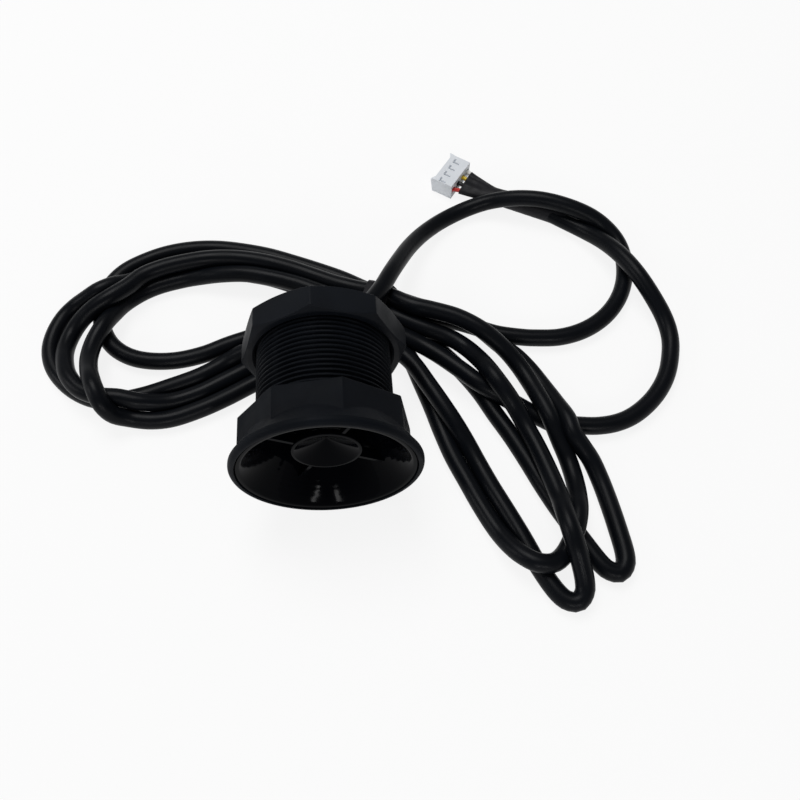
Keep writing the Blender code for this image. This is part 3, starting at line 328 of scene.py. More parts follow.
def volume(points, faces):
    """Six times the space inside a closed surface, above zero where its faces point outwards."""
    total = 0.0
    for group in faces:
        for k in range(1, group.shape[1] - 1):
            a, b, c = points[group[:, 0]], points[group[:, k]], points[group[:, k + 1]]
            total += np.einsum("ij,ij->", a - points[0], np.cross(b - points[0], c - points[0]))
    return total


def make_piece(name, surfaces, finish, body, nodes=(), sharp=32.0):
    """An object at the origin from closed surfaces, each turned outwards, that rides on a body."""
    points, faces, first = [], [], 0
    for surface, groups in surfaces:
        if not np.isfinite(surface).all():
            raise ValueError(f"{name}: a point isn't finite")
        flip = volume(surface, groups) < 0
        faces += [face for group in groups for face in (group[:, ::-1] if flip else group) + first]
        points.append(surface)
        first += len(surface)
    mesh = bpy.data.meshes.new(name)
    mesh.from_pydata(np.vstack(points).tolist(), [], [face.tolist() for face in faces])
    if mesh.validate():
        raise ValueError(f"{name}: the mesh had faces that aren't valid")
    mesh.shade_smooth()
    mesh.set_sharp_from_angle(angle=math.radians(sharp))
    mesh.materials.append(finish)
    piece = bpy.data.objects.new(name, mesh)
    bpy.context.scene.collection.objects.link(piece)
    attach(piece, body)
    if nodes:
        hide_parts(*nodes)
    return piece


def smooth_path(points, step):
    """Evenly spaced points along a centripetal Catmull-Rom curve, which passes through every given point."""
    points = np.asarray(points, float)
    padded = np.vstack([2 * points[0] - points[1], points, 2 * points[-1] - points[-2]])
    a, b, c, d = padded[:-3], padded[1:-2], padded[2:-1], padded[3:]
    ab, bc, cd = (np.linalg.norm(q - p, axis=1)[:, None] ** 0.5 for p, q in ((a, b), (b, c), (c, d)))
    leave = bc * ((b - a) / ab - (c - a) / (ab + bc)) + (c - b)
    arrive = bc * ((d - c) / cd - (d - b) / (bc + cd)) + (c - b)
    t = np.linspace(0.0, 1.0, 24, endpoint=False)[:, None, None]
    curve = (
        (2 * t**3 - 3 * t**2 + 1) * b + (t**3 - 2 * t**2 + t) * leave
        + (3 * t**2 - 2 * t**3) * c + (t**3 - t**2) * arrive
    )
    curve = np.vstack([curve.transpose(1, 0, 2).reshape(-1, points.shape[1]), points[-1:]])
    return even_points(curve, step)


def even_points(curve, step):
    """The same line again with its points a step apart."""
    along = np.concatenate([[0.0], np.cumsum(np.linalg.norm(np.diff(curve, axis=0), axis=1))])
    wanted = np.linspace(0.0, along[-1], max(2, round(along[-1] / step) + 1))
    return np.stack([np.interp(wanted, along, column) for column in curve.T], axis=1)


def unit(vectors):
    """The same directions with length one."""
    return vectors / np.linalg.norm(vectors, axis=-1, keepdims=True)


def facing(place, ahead, right):
    """The placing of a camera or lamp: its columns are right, right cross ahead, behind, and its place."""
    turn = np.eye(4)
    turn[:3, 0], turn[:3, 1], turn[:3, 2], turn[:3, 3] = right, np.cross(right, ahead), -ahead, place
    return Matrix(turn.tolist())


def ease(share):
    """A share from 0 to 1 that starts and ends level: three squares less two cubes."""
    return share * share * (3 - 2 * share)


def eased(value, low, high):
    """An eased rise from 0 to 1 as the value goes from low to high."""
    return ease(np.clip((value - low) / (high - low), 0.0, 1.0))


def squarer(wave, power):
    """A sine or cosine with its size raised to a power and its sign kept: below 1 an oval becomes squarer."""
    return np.sign(wave) * np.abs(wave) ** power


def line_frames(path, up=(0.0, 0.0, 1.0)):
    """For a path that never points straight up: its direction, and the level and the upright square to it."""
    ahead = unit(np.gradient(path, axis=0))
    across = unit(np.cross(ahead, up))
    return ahead, across, np.cross(across, ahead)


def carried(path, width, height, sides, power=1.0, up=(0.0, 0.0, 1.0)):
    """Rings of an oval carried along a path.

    Across it is half the width times a cosine, and up it is half the height times a sine. A power below 1
    makes the oval squarer."""
    _, across, upright = line_frames(path, up)
    angles = np.linspace(0.0, math.tau, sides, endpoint=False)
    cosine, sine = squarer(np.cos(angles), power), squarer(np.sin(angles), power)
    width, height = np.broadcast_to(width, len(path)), np.broadcast_to(height, len(path))
    side = cosine[None, :, None] * across[:, None] * width[:, None, None] / 2
    rise = sine[None, :, None] * upright[:, None] * height[:, None, None] / 2
    return path[:, None] + side + rise


def round_over(start, corner, end, radius, steps=5):
    """Points of an arc that rounds the corner between two straight edges of a (distance, radius) outline."""
    start, corner, end = (np.asarray(p, float) for p in (start, corner, end))
    one, two = unit(start - corner), unit(end - corner)
    half = math.acos(float(np.clip(one @ two, -1.0, 1.0))) / 2
    room = 0.49 * min(np.linalg.norm(start - corner), np.linalg.norm(end - corner))
    reach = min(radius / math.tan(half), room)
    radius = reach * math.tan(half)
    centre = corner + unit(one + two) * radius / math.sin(half)
    first, last = corner + one * reach - centre, corner + two * reach - centre
    angle = math.acos(float(np.clip(unit(first) @ unit(last), -1.0, 1.0)))
    t = np.linspace(0.0, 1.0, steps)[:, None]
    return centre + (np.sin((1 - t) * angle) * first + np.sin(t * angle) * last) / math.sin(angle)


def rounded_outline(points, radii, closed=True, steps=5):
    """A (distance, radius) outline with each corner rounded by its own radius, or sharp where it is 0."""
    count, out = len(points), []
    for k, radius in enumerate(radii):
        if radius <= 0.0 or (not closed and k in (0, count - 1)):
            out.append(np.asarray(points[k], float)[None])
        else:
            out.append(round_over(points[k - 1], points[k], points[(k + 1) % count], radius, steps))
    return np.vstack(out)


def flats_radius(angles, across, turn, rounding):
    """Radius of an octagon with rounded corners, one of them at the angle turn.

    On a flat it is half the width over the cosine of the angle from the flat's middle. Near a corner it is
    where the ray meets the corner's arc."""
    inner = across / 2
    from_flat = np.abs((angles - turn) % (math.pi / 4) - math.pi / 8)
    centre = (inner - rounding) / math.cos(math.pi / 8)
    from_corner = math.pi / 8 - from_flat
    arc = centre * np.cos(from_corner) + np.sqrt(
        np.maximum(rounding**2 - (centre * np.sin(from_corner)) ** 2, 0.0)
    )
    limit = math.atan2(centre * math.sin(math.pi / 8), inner)
    return np.where(from_flat <= limit, inner / np.cos(from_flat), arc)


def flats_angles(across, turn, rounding, on_flat=17, on_corner=7):
    """Angles round an octagon, close together at its eight rounded corners."""
    inner = across / 2
    centre = (inner - rounding) / math.cos(math.pi / 8)
    half = math.pi / 8 - math.atan2(centre * math.sin(math.pi / 8), inner)
    corner = np.linspace(-half, half, on_corner)
    flat = np.linspace(half, math.pi / 4 - half, on_flat + 2)[1:-1]
    one = np.concatenate([corner, flat])
    return (turn + np.arange(8)[:, None] * math.pi / 4 + one[None]).ravel()


def larger_of(a, b, blend):
    """The larger of two surfaces, with a smooth valley of that width where they meet."""
    share = np.maximum(blend - np.abs(a - b), 0.0) / blend
    return np.maximum(a, b) + share**2 * blend / 4


def horn_radius(distance, mouth):
    """Inner radius of the bell: it falls from the mouth to the throat with a power of the depth."""
    share = (distance + RIM_NOSE) / (HORN_DEPTH + RIM_NOSE)
    return mouth + (HORN_THROAT_RADIUS - mouth) * share ** (1 / HORN_CURVE)


# Finishes: procedural materials on object coordinates


def new_finish(name, colour, roughness, specular=0.5, metallic=0.0):
    """A material whose plain numbers stand on the shader's own sockets."""
    finish = bpy.data.materials.new(name)
    finish.use_nodes = True
    finish.diffuse_color = (*colour, 1.0)
    shader = finish.node_tree.nodes["Principled BSDF"]
    shader.inputs["Base Color"].default_value = (*colour, 1.0)
    shader.inputs["Roughness"].default_value = roughness
    shader.inputs["Specular IOR Level"].default_value = specular
    shader.inputs["Metallic"].default_value = metallic
    return finish


def noise_on(finish, scale, detail=3.0, stretch=(1.0, 1.0, 1.0)):
    """A noise over the object's own coordinates, stretched along an axis where a finish has a direction."""
    nodes, links = finish.node_tree.nodes, finish.node_tree.links
    place = nodes.new("ShaderNodeTexCoord")
    mapping = nodes.new("ShaderNodeMapping")
    mapping.inputs["Scale"].default_value = stretch
    noise = nodes.new("ShaderNodeTexNoise")
    noise.inputs["Scale"].default_value = scale
    noise.inputs["Detail"].default_value = detail
    links.new(place.outputs["Object"], mapping.inputs["Vector"])
    links.new(mapping.outputs["Vector"], noise.inputs["Vector"])
    return noise.outputs["Fac"]


def add_mottle(finish, colour, amount, scale, tint=(1.0, 1.0, 1.0)):
    """Lets the colour drift in soft patches, darker by the amount to lighter by it."""
    nodes, links = finish.node_tree.nodes, finish.node_tree.links
    ramp = nodes.new("ShaderNodeValToRGB")
    ramp.color_ramp.elements[0].position = 0.3
    ramp.color_ramp.elements[1].position = 0.7
    ramp.color_ramp.elements[0].color = (*(c * (1 - amount) for c in colour), 1.0)
    ramp.color_ramp.elements[1].color = (*(min(1.0, c * (1 + amount) * t) for c, t in zip(colour, tint)), 1.0)
    links.new(noise_on(finish, scale), ramp.inputs["Fac"])
    links.new(ramp.outputs["Color"], nodes["Principled BSDF"].inputs["Base Color"])


def add_sheen_patches(finish, low, high, scale, stretch=(1.0, 1.0, 1.0)):
    """Lets the roughness wander between two values, as handling and moulding leave it."""
    nodes, links = finish.node_tree.nodes, finish.node_tree.links
    spread = nodes.new("ShaderNodeMapRange")
    spread.inputs["From Min"].default_value = 0.3
    spread.inputs["From Max"].default_value = 0.7
    spread.inputs["To Min"].default_value = low
    spread.inputs["To Max"].default_value = high
    links.new(noise_on(finish, scale, 4.0, stretch), spread.inputs["Value"])
    links.new(spread.outputs["Result"], nodes["Principled BSDF"].inputs["Roughness"])


def add_grain(finish, scale, height, strength=1.0, stretch=(1.0, 1.0, 1.0), detail=2.0):
    """Raises a fine grain of that height on the surface."""
    nodes, links = finish.node_tree.nodes, finish.node_tree.links
    bump = nodes.new("ShaderNodeBump")
    bump.inputs["Strength"].default_value = strength
    bump.inputs["Distance"].default_value = height
    links.new(noise_on(finish, scale, detail, stretch), bump.inputs["Height"])
    links.new(bump.outputs["Normal"], nodes["Principled BSDF"].inputs["Normal"])


def plastic(name, colour, low, high, specular, grain=0.01 * MM, grain_scale=5000.0, mottle=0.12):
    """A moulded plastic: mottled a little, with roughness from low to high and a fine grain."""
    finish = new_finish(name, colour, (low + high) / 2, specular)
    add_mottle(finish, colour, mottle, 90.0)
    add_sheen_patches(finish, low, high, 140.0)
    add_grain(finish, grain_scale, grain)
    return finish


def metal(name, colour, low, high, grain=0.004 * MM, stretch=(1.0, 1.0, 1.0)):
    """A bare metal with fine drawn or cast marks."""
    finish = new_finish(name, colour, (low + high) / 2, 0.5, 1.0)
    add_mottle(finish, colour, 0.08, 400.0)
    add_sheen_patches(finish, low, high, 900.0, stretch)
    add_grain(finish, 3000.0, grain, 0.6, stretch)
    return finish


def sizes():
    """The user's sizes."""
    return bpy.context.scene.sensor_sizes


def colours():
    """The user's colours."""
    return bpy.context.scene.sensor_colours


class SENSOR_OT_stage(bpy.types.Operator):
    """Sets up the camera, the pale floor and the soft light."""

    bl_idname = "sensor.stage"
    bl_label = "Stage"

    def execute(self, context):
        scene = context.scene
        scene.view_settings.view_transform = "Standard"
        data = bpy.data.cameras.new("view")
        data.lens = CAMERA_LENS
        data.sensor_width = CAMERA_SENSOR
        data.clip_start = 0.01
        data.clip_end = 20.0
        camera = bpy.data.objects.new("view", data)
        ahead, right = unit(CAMERA_AHEAD), unit(CAMERA_RIGHT)
        camera.matrix_world = facing(CAMERA_PLACE, ahead, unit(right - ahead * (right @ ahead)))
        scene.collection.objects.link(camera)
        scene.camera = camera

        self.make_floor(scene)
        self.make_lights(scene)
        return {"FINISHED"}

    def make_floor(self, scene):
        """A plain white floor that a camera or a mirror sees as white, and that still takes the shadow."""
        mesh = bpy.data.meshes.new("floor")
        corners = [(x * FLOOR_REACH, y * FLOOR_REACH, 0.0) for x, y in ((-1, -1), (1, -1), (1, 1), (-1, 1))]
        mesh.from_pydata(corners, [], [(0, 1, 2, 3)])
        floor = bpy.data.objects.new("floor", mesh)
        scene.collection.objects.link(floor)
        finish = bpy.data.materials.new("pale_floor")
        finish.use_nodes = True
        nodes, links = finish.node_tree.nodes, finish.node_tree.links
        nodes.remove(nodes["Principled BSDF"])
        matte = nodes.new("ShaderNodeBsdfDiffuse")
        matte.inputs["Color"].default_value = (*[FLOOR_WHITE] * 3, 1.0)
        bright = nodes.new("ShaderNodeEmission")
        bright.inputs["Color"].default_value = (1.0, 1.0, 1.0, 1.0)
        path = nodes.new("ShaderNodeLightPath")
        seen = nodes.new("ShaderNodeMath")
        seen.operation = "MAXIMUM"
        through = nodes.new("ShaderNodeMath")
        through.operation = "MAXIMUM"
        share = nodes.new("ShaderNodeMath")
        share.operation = "MULTIPLY"
        share.inputs[1].default_value = FLOOR_WHITE
        mix = nodes.new("ShaderNodeMixShader")
        links.new(path.outputs["Is Camera Ray"], seen.inputs[0])
        links.new(path.outputs["Is Glossy Ray"], seen.inputs[1])
        links.new(seen.outputs[0], through.inputs[0])
        links.new(path.outputs["Is Transmission Ray"], through.inputs[1])
        links.new(through.outputs[0], share.inputs[0])
        links.new(share.outputs[0], mix.inputs["Fac"])
        links.new(matte.outputs[0], mix.inputs[1])
        links.new(bright.outputs[0], mix.inputs[2])
        links.new(mix.outputs[0], nodes["Material Output"].inputs["Surface"])
        mesh.materials.append(finish)

    def make_lights(self, scene):
        """A pale surrounding that dims upwards, soft boxes above and to the left, and two strips in front."""
        world = bpy.data.worlds.new("surrounding")
        scene.world = world
        world.use_nodes = True
        nodes, links = world.node_tree.nodes, world.node_tree.links
        background = nodes["Background"]
        background.inputs["Color"].default_value = (1.0, 1.0, 1.0, 1.0)
        direction = nodes.new("ShaderNodeTexCoord")
        split = nodes.new("ShaderNodeSeparateXYZ")
        strength = nodes.new("ShaderNodeMapRange")
        strength.inputs["From Min"].default_value = 0.1
        strength.inputs["From Max"].default_value = 0.55
        strength.inputs["To Min"].default_value = HORIZON_STRENGTH
        strength.inputs["To Max"].default_value = ZENITH_STRENGTH
        links.new(direction.outputs["Generated"], split.inputs[0])
        links.new(split.outputs["Z"], strength.inputs["Value"])
        links.new(strength.outputs["Result"], background.inputs["Strength"])
        for name, place, aim, size, power in LAMPS:
            light = bpy.data.lights.new(name, "AREA")
            light.shape = "RECTANGLE"
            light.size, light.size_y = size
            light.energy = power
            lamp = bpy.data.objects.new(name, light)
            ahead = unit(np.array(aim) - np.array(place))
            lamp.matrix_world = facing(place, ahead, unit(np.cross(ahead, (0.0, 0.0, 1.0))))
            scene.collection.objects.link(lamp)


def plug_local(x, y, z):
    """Points of the plug's own frame: across its leads, towards its mating end, and up from its middle."""
    ahead = np.array([math.cos(PLUG_HEADING), math.sin(PLUG_HEADING), 0.0])
    across = np.array([ahead[1], -ahead[0], 0.0])
    x, y, z = np.broadcast_arrays(x, y, z)
    level = PLUG_PLACE + x[..., None] * across + y[..., None] * ahead
    return level + z[..., None] * np.array([0.0, 0.0, 1.0])


def plug_point(behind, side=0.0, up=0.0):
    """A point behind the plug's middle on the line of its leads, to the side and up."""
    return plug_local(side, -behind, up)


def cord_path():
    """The cable's middle line from inside the bushing to inside the sleeve."""
    routes = np.vstack([LEAD_OUT_ROUTE, HANK_ROUTE, PLUG_RUN_ROUTE]) * MM
    start = on_axis(np.array([BUSHING_MOUTH - BUSHING_DEPTH + GAP, BUSHING_MOUTH, BUSHING_MOUTH + 1.5 * MM]))
    return smooth_path(np.vstack([start, routes]), CORD_STEP)


class SENSOR_OT_cord(bpy.types.Operator):
    """Makes the cable as one tube from the bushing through the hank to its sleeve."""

    bl_idname = "sensor.cord"
    bl_label = "Cable"

    def execute(self, context):
        size = sizes()
        path = cord_path()
        along = np.arange(len(path)) * CORD_STEP
        width = size.cord_diameter * (
            1 + 0.004 * np.sin(along / (9 * MM)) + 0.003 * np.sin(along / (23 * MM) + 1.0)
        )
        rings = carried(path, width, width, 28)
        finish = plastic("cable_jacket", colours().jacket, 0.3, 0.4, 0.09, 0.004 * MM, 2600.0, 0.15)
        piece = make_piece(
            "cable", [skin(rings)], finish, "sensor",
            ("cord_lead_out", "cord_plug_run", "cord_loops_left", "cord_loops_right", "cord_waist"),
        )
        on_axis(BUSHING_MOUTH).tolist()
        return {"FINISHED"}


class SENSOR_OT_bushing(bpy.types.Operator):
    """Makes the rubber bushing that the cable leaves through."""

    bl_idname = "sensor.bushing"
    bl_label = "Cable bushing"

    def execute(self, context):
        hole = sizes().cord_diameter / 2 + GAP / 3
        floor = BUSHING_MOUTH - BUSHING_DEPTH
        points = [
            (SEAL_FRONT, 0.1 * MM), (SEAL_FRONT, BUSHING_RADIUS), (BODY_REAR + 0.3 * MM, BUSHING_RADIUS),
            (BODY_REAR + 1.2 * MM, BUSHING_NECK + 0.35 * MM), (BUSHING_MOUTH, BUSHING_NECK),
            (BUSHING_MOUTH, hole), (floor, hole), (floor, 0.1 * MM),
        ]
        outline = rounded_outline(
            points, [0, 0, 0.4 * MM, 0.6 * MM, 0.35 * MM, 0.15 * MM, 0, 0], closed=False
        )
        angles = np.linspace(0.0, math.tau, 72, endpoint=False)
        finish = plastic("bushing_rubber", colours().rubber, 0.55, 0.72, 0.16, 0.012 * MM, 4200.0)
        make_piece(
            "strain_relief", [skin(turned(outline[:, 0], outline[:, 1], angles))], finish, "sensor",
            ("cable_bushing",),
        )
        return {"FINISHED"}


class SENSOR_OT_housing(bpy.types.Operator):
    """Makes the rim, the flared collar with its wrench flats and the threaded barrel."""

    bl_idname = "sensor.housing"
    bl_label = "Housing"

    def execute(self, context):
        size = sizes()
        rim, lip = size.rim_radius, size.rim_radius - LIP_INSET
        mouth = size.rim_radius - RIM_WALL
        seat = mouth + HORN_FLANGE + GAP
        angles = flats_angles(size.collar_flats, COLLAR_TURN, size.corner_round)
        flats = flats_radius(angles, size.collar_flats, COLLAR_TURN, size.corner_round)
        one = np.ones_like(angles)
        rows = []

        # The lip: a quarter of an oval from its crest to the rim's widest circle, then the band and its step
        inner = rounded_outline(
            [(HORN_SEAT, seat), (-RIM_NOSE, seat), (-RIM_NOSE, lip)], [0, 0.12 * MM, 0], closed=False
        )
        quarter = np.linspace(math.pi / 2, 0.0, 14)
        nose = np.stack([-RIM_NOSE * np.sin(quarter), lip + (rim - lip) * np.cos(quarter)], -1)
        cone_start, cone_radius = RIM_LAND + RIM_STEP, rim - RIM_STEP
        band = rounded_outline(
            [(0.1 * MM, rim), (RIM_LAND, rim), (RIM_LAND, cone_radius), (cone_start, cone_radius),
             (cone_start + 1 * MM, cone_radius - 1 * MM * math.tan(FLARE_ANGLE))],
            [0, 0.12 * MM, 0.08 * MM, 0.15 * MM, 0], closed=False,
        )
        front = np.vstack([inner[:-1], nose, band[:-1]])
        rows += [(s * one, r * one) for s, r in front]

        # The flare: a cone that runs into the flats, with a fillet along the scalloped edge between them
        meets = cone_start + (cone_radius - flats) / math.tan(FLARE_ANGLE)
        for share in np.linspace(0.12, 1.0, 9):
            s = cone_start + share * (meets - 0.5 * MM - cone_start)
            rows.append((s, cone_radius - (s - cone_start) * math.tan(FLARE_ANGLE)))
        for offset in np.linspace(-0.4, 0.6, 11) * MM:
            s = meets + offset
            cone = cone_radius - (s - cone_start) * math.tan(FLARE_ANGLE)
            rows.append((s, larger_of(cone, flats, 0.3 * MM)))

        # The flats and the collar's rear face, whose edge is rounded
        edge = 0.35 * MM
        for share in np.linspace(0.2, 0.999, 6):
            rows.append((meets + 0.6 * MM + share * (COLLAR_REAR - edge - meets - 0.6 * MM), flats))
        for a in np.linspace(0.15, math.pi / 2, 6):
            rows.append(((COLLAR_REAR - edge + edge * math.sin(a)) * one, flats - edge * (1 - math.cos(a))))
        rows.append((COLLAR_REAR * one, (THREAD_RADIUS + 1.4 * MM) * one))
        root = THREAD_RADIUS - size.thread_depth
        rows.append((COLLAR_REAR * one, (root + 0.2 * MM) * one))
        rows.append(((COLLAR_REAR + 0.2 * MM) * one, root * one))

        # The thread: its height is a clipped cosine of the distance in pitches less the angle in turns
        s = np.arange(COLLAR_REAR + 0.5 * MM, BODY_REAR - 0.1 * MM, size.thread_pitch / 10)
        phase = s[:, None] / size.thread_pitch - angles[None] / math.tau
        wave = ease(np.clip(0.5 + 0.72 * np.cos(math.tau * phase), 0.0, 1.0))
        fade = np.clip((s - COLLAR_REAR - 0.8 * MM) / (0.9 * MM), 0.0, 1.0)[:, None]
        thread = root + size.thread_depth * wave * fade
        taper = 0.9 * np.maximum(s - (BODY_REAR - 1.1 * MM), 0.0)[:, None]
        thread = np.minimum(thread, THREAD_RADIUS - taper)
        rows += [(distance * one, radius) for distance, radius in zip(s, thread)]

        # The rear end, the stepped bore and the space that the bell is pressed into
        clear = HORN_WALL + GAP
        line = np.linspace(HORN_SEAT, HORN_DEPTH, 60)
        bore_start = line[np.argmax(horn_radius(line, mouth) + clear <= BORE_RADIUS)]
        seat_line = np.linspace(bore_start, HORN_SEAT, 9)
        inside = np.vstack([
            [(BODY_REAR, root - 0.1 * MM), (BODY_REAR, SEAL_BORE_RADIUS + 0.2 * MM),
             (BODY_REAR - 0.2 * MM, SEAL_BORE_RADIUS), (BOARD_SEAT, SEAL_BORE_RADIUS),
             (BOARD_SEAT, BORE_RADIUS)],
            np.stack([seat_line, np.minimum(horn_radius(seat_line, mouth) + clear, seat)], -1),
        ])
        rows += [(distance * one, radius * one) for distance, radius in inside]

        distance, radius = (np.array([row[k] for row in rows]) for k in (0, 1))
        finish = plastic("moulded_black", colours().moulding, 0.46, 0.62, 0.045, 0.016 * MM, 4200.0, 0.2)
        make_piece(
            "sensor_housing", [skin(turned(distance, radius, angles), loop=True)], finish, "sensor",
            ("housing",),
        )
        return {"FINISHED"}


class SENSOR_OT_lock_nut(bpy.types.Operator):
    """Makes the octagonal lock nut with its chamfered faces."""

    bl_idname = "sensor.lock_nut"
    bl_label = "Lock nut"

    def execute(self, context):
        size = sizes()
        angles = flats_angles(size.nut_flats, NUT_TURN, size.corner_round)
        flats = flats_radius(angles, size.nut_flats, NUT_TURN, size.corner_round)
        one = np.ones_like(angles)
        face, soft = size.nut_flats / 2 - 0.35 * MM, 0.10 * MM
        depth = (flats - face) * math.tan(NUT_CHAMFER)
        bore, half = THREAD_RADIUS + GAP, NUT_THICKNESS / 2
        rows = [(-half + 0.8 * MM, bore * one), (-half + 0.12 * MM, (bore + 0.68 * MM) * one),
                (-half, (bore + 0.85 * MM) * one), (-half, (face - 0.4 * MM) * one),
                (-half, (face - soft) * one), (-half + soft * 0.25, (face + soft * 0.6) * one)]
        for share in (0.25, 0.5, 0.75, 0.93):
            rows.append((-half + share * depth, face + share * (flats - face)))
        rows.append((-half + depth + soft * 0.5, flats - soft * 0.12))
        rows.append((-half + depth + soft * 1.6, flats))
        rows = [(distance * one if np.ndim(distance) == 0 else distance, radius) for distance, radius in rows]
        rows += [(-s, r) for s, r in rows[::-1]]
        distance, radius = (np.array([row[k] for row in rows]) for k in (0, 1))

        # The bore is plain, since the barrel fills it
        finish = plastic("nut_nylon", colours().nut, 0.44, 0.6, 0.075, 0.016 * MM, 3900.0, 0.2)
        rings = turned(distance + NUT_FRONT + half, radius, angles)
        make_piece("sensor_nut", [skin(rings, loop=True)], finish, "nut", ("lock_nut",))
        return {"FINISHED"}


class SENSOR_OT_horn(bpy.types.Operator):
    """Makes the glossy bell with its flange and its socket, and the ribs that carry the ring and its cone."""

    bl_idname = "sensor.horn"
    bl_label = "Horn"

    def execute(self, context):
        size = sizes()
        mouth = size.rim_radius - RIM_WALL
        flange = mouth + HORN_FLANGE
        front = -RIM_NOSE + 0.35 * MM
        angles = np.linspace(0.0, math.tau, 180, endpoint=False)
        inner = np.linspace(front + 0.12 * MM, HORN_DEPTH - 0.4 * MM, 110)
        bell = horn_radius(inner, mouth)
        swell = np.sin(math.tau * inner / (1.25 * MM)) * np.clip((HORN_DEPTH - inner) / (6 * MM), 0, 1)
        wall = bell[:, None] + size.bell_ripple * swell[:, None] * (1 + 0.5 * np.cos(3 * angles))[None]
        outer = np.linspace(HORN_DEPTH - HORN_WALL, HORN_SEAT - GAP, 10)
        outside = np.stack([outer, horn_radius(outer, mouth) + HORN_WALL], -1)
        end = HORN_DEPTH + SOCKET_LENGTH
        rest = np.vstack([
            [(HORN_DEPTH, HORN_THROAT_RADIUS + 0.3 * MM), (HORN_DEPTH, SOCKET_RADIUS), (end, SOCKET_RADIUS),
             (end, SOCKET_RADIUS + HORN_WALL), (HORN_DEPTH, SOCKET_RADIUS + HORN_WALL)],
            outside,
            [(HORN_SEAT - GAP, flange), (front + 0.1 * MM, flange), (front, flange - 0.1 * MM),
             (front, horn_radius(front, mouth) + 0.12 * MM)],
        ])
        one = np.ones_like(angles)
        distance = np.concatenate([inner, rest[:, 0]])[:, None] * one
        radius = np.vstack([wall, rest[:, 1:] * one])
        surfaces = [skin(turned(distance, radius, angles), loop=True)]

        # The ring and its hollow cone, one turned piece with its edge rounded
        edge = RING_RADIUS - RING_EDGE
        outline = rounded_outline(
            [(RING_FRONT + CONE_DEPTH, 0.05 * MM), (RING_FRONT, edge), (RING_FRONT, RING_RADIUS),
             (RING_FRONT + RING_LENGTH, RING_RADIUS), (RING_FRONT + CONE_DEPTH + CONE_WALL, 0.05 * MM)],
            [0, 0.22 * MM, 0.22 * MM, 0.3 * MM, 0], closed=False,
        )
        cone = np.linspace(0.0, 1.0, 16)[1:-1, None]
        outline = np.vstack([outline[:1], outline[:1] + cone * (outline[1:2] - outline[:1]), outline[1:]])
        surfaces.append(skin(turned(outline[:, 0], outline[:, 1], angles)))

        # The ribs: blades from the ring into the bell's wall
        start = RING_FRONT + 0.35 * MM
        for k in range(RIB_COUNT):
            turn = RIB_TURN + k * math.tau / RIB_COUNT
            surfaces.append(self.rib(turn, start, start + 3.0 * MM, edge + 0.2 * MM, mouth, size.rib_width))
        finish = new_finish("bell_gloss", colours().bell, 0.13, 0.025)
        add_mottle(finish, colours().bell, 0.15, 120.0)
        add_sheen_patches(finish, 0.06, 0.13, 260.0)
        add_grain(finish, 900.0, 0.004 * MM, 0.5)
        make_piece("sensor_horn", surfaces, finish, "sensor", ("horn",))
        return {"FINISHED"}

    def rib(self, turn, start, end, inner, mouth, width):
        """A blade in the plane of the axis, whose sections are rounded bars from the ring into the wall."""
        distance = np.linspace(start, end, 12)
        reach = horn_radius(distance, mouth) + HORN_WALL / 2
        corner = np.linspace(0.0, math.tau, 16, endpoint=False)
        square = np.stack([squarer(np.cos(corner), 0.35), squarer(np.sin(corner), 0.35)], -1)
        middle, half = (inner + reach) / 2, (reach - inner) / 2
        ends = np.concatenate([[0.8], np.ones(10), [0.8]])
        radial = middle[:, None] + half[:, None] * square[None, :, 0]
        aside = width / 2 * square[None, :, 1] * ends[:, None]
        x = radial * math.cos(turn) - aside * math.sin(turn)
        z = radial * math.sin(turn) + aside * math.cos(turn)
        return skin(on_axis(distance[:, None] * np.ones_like(x), x, z))


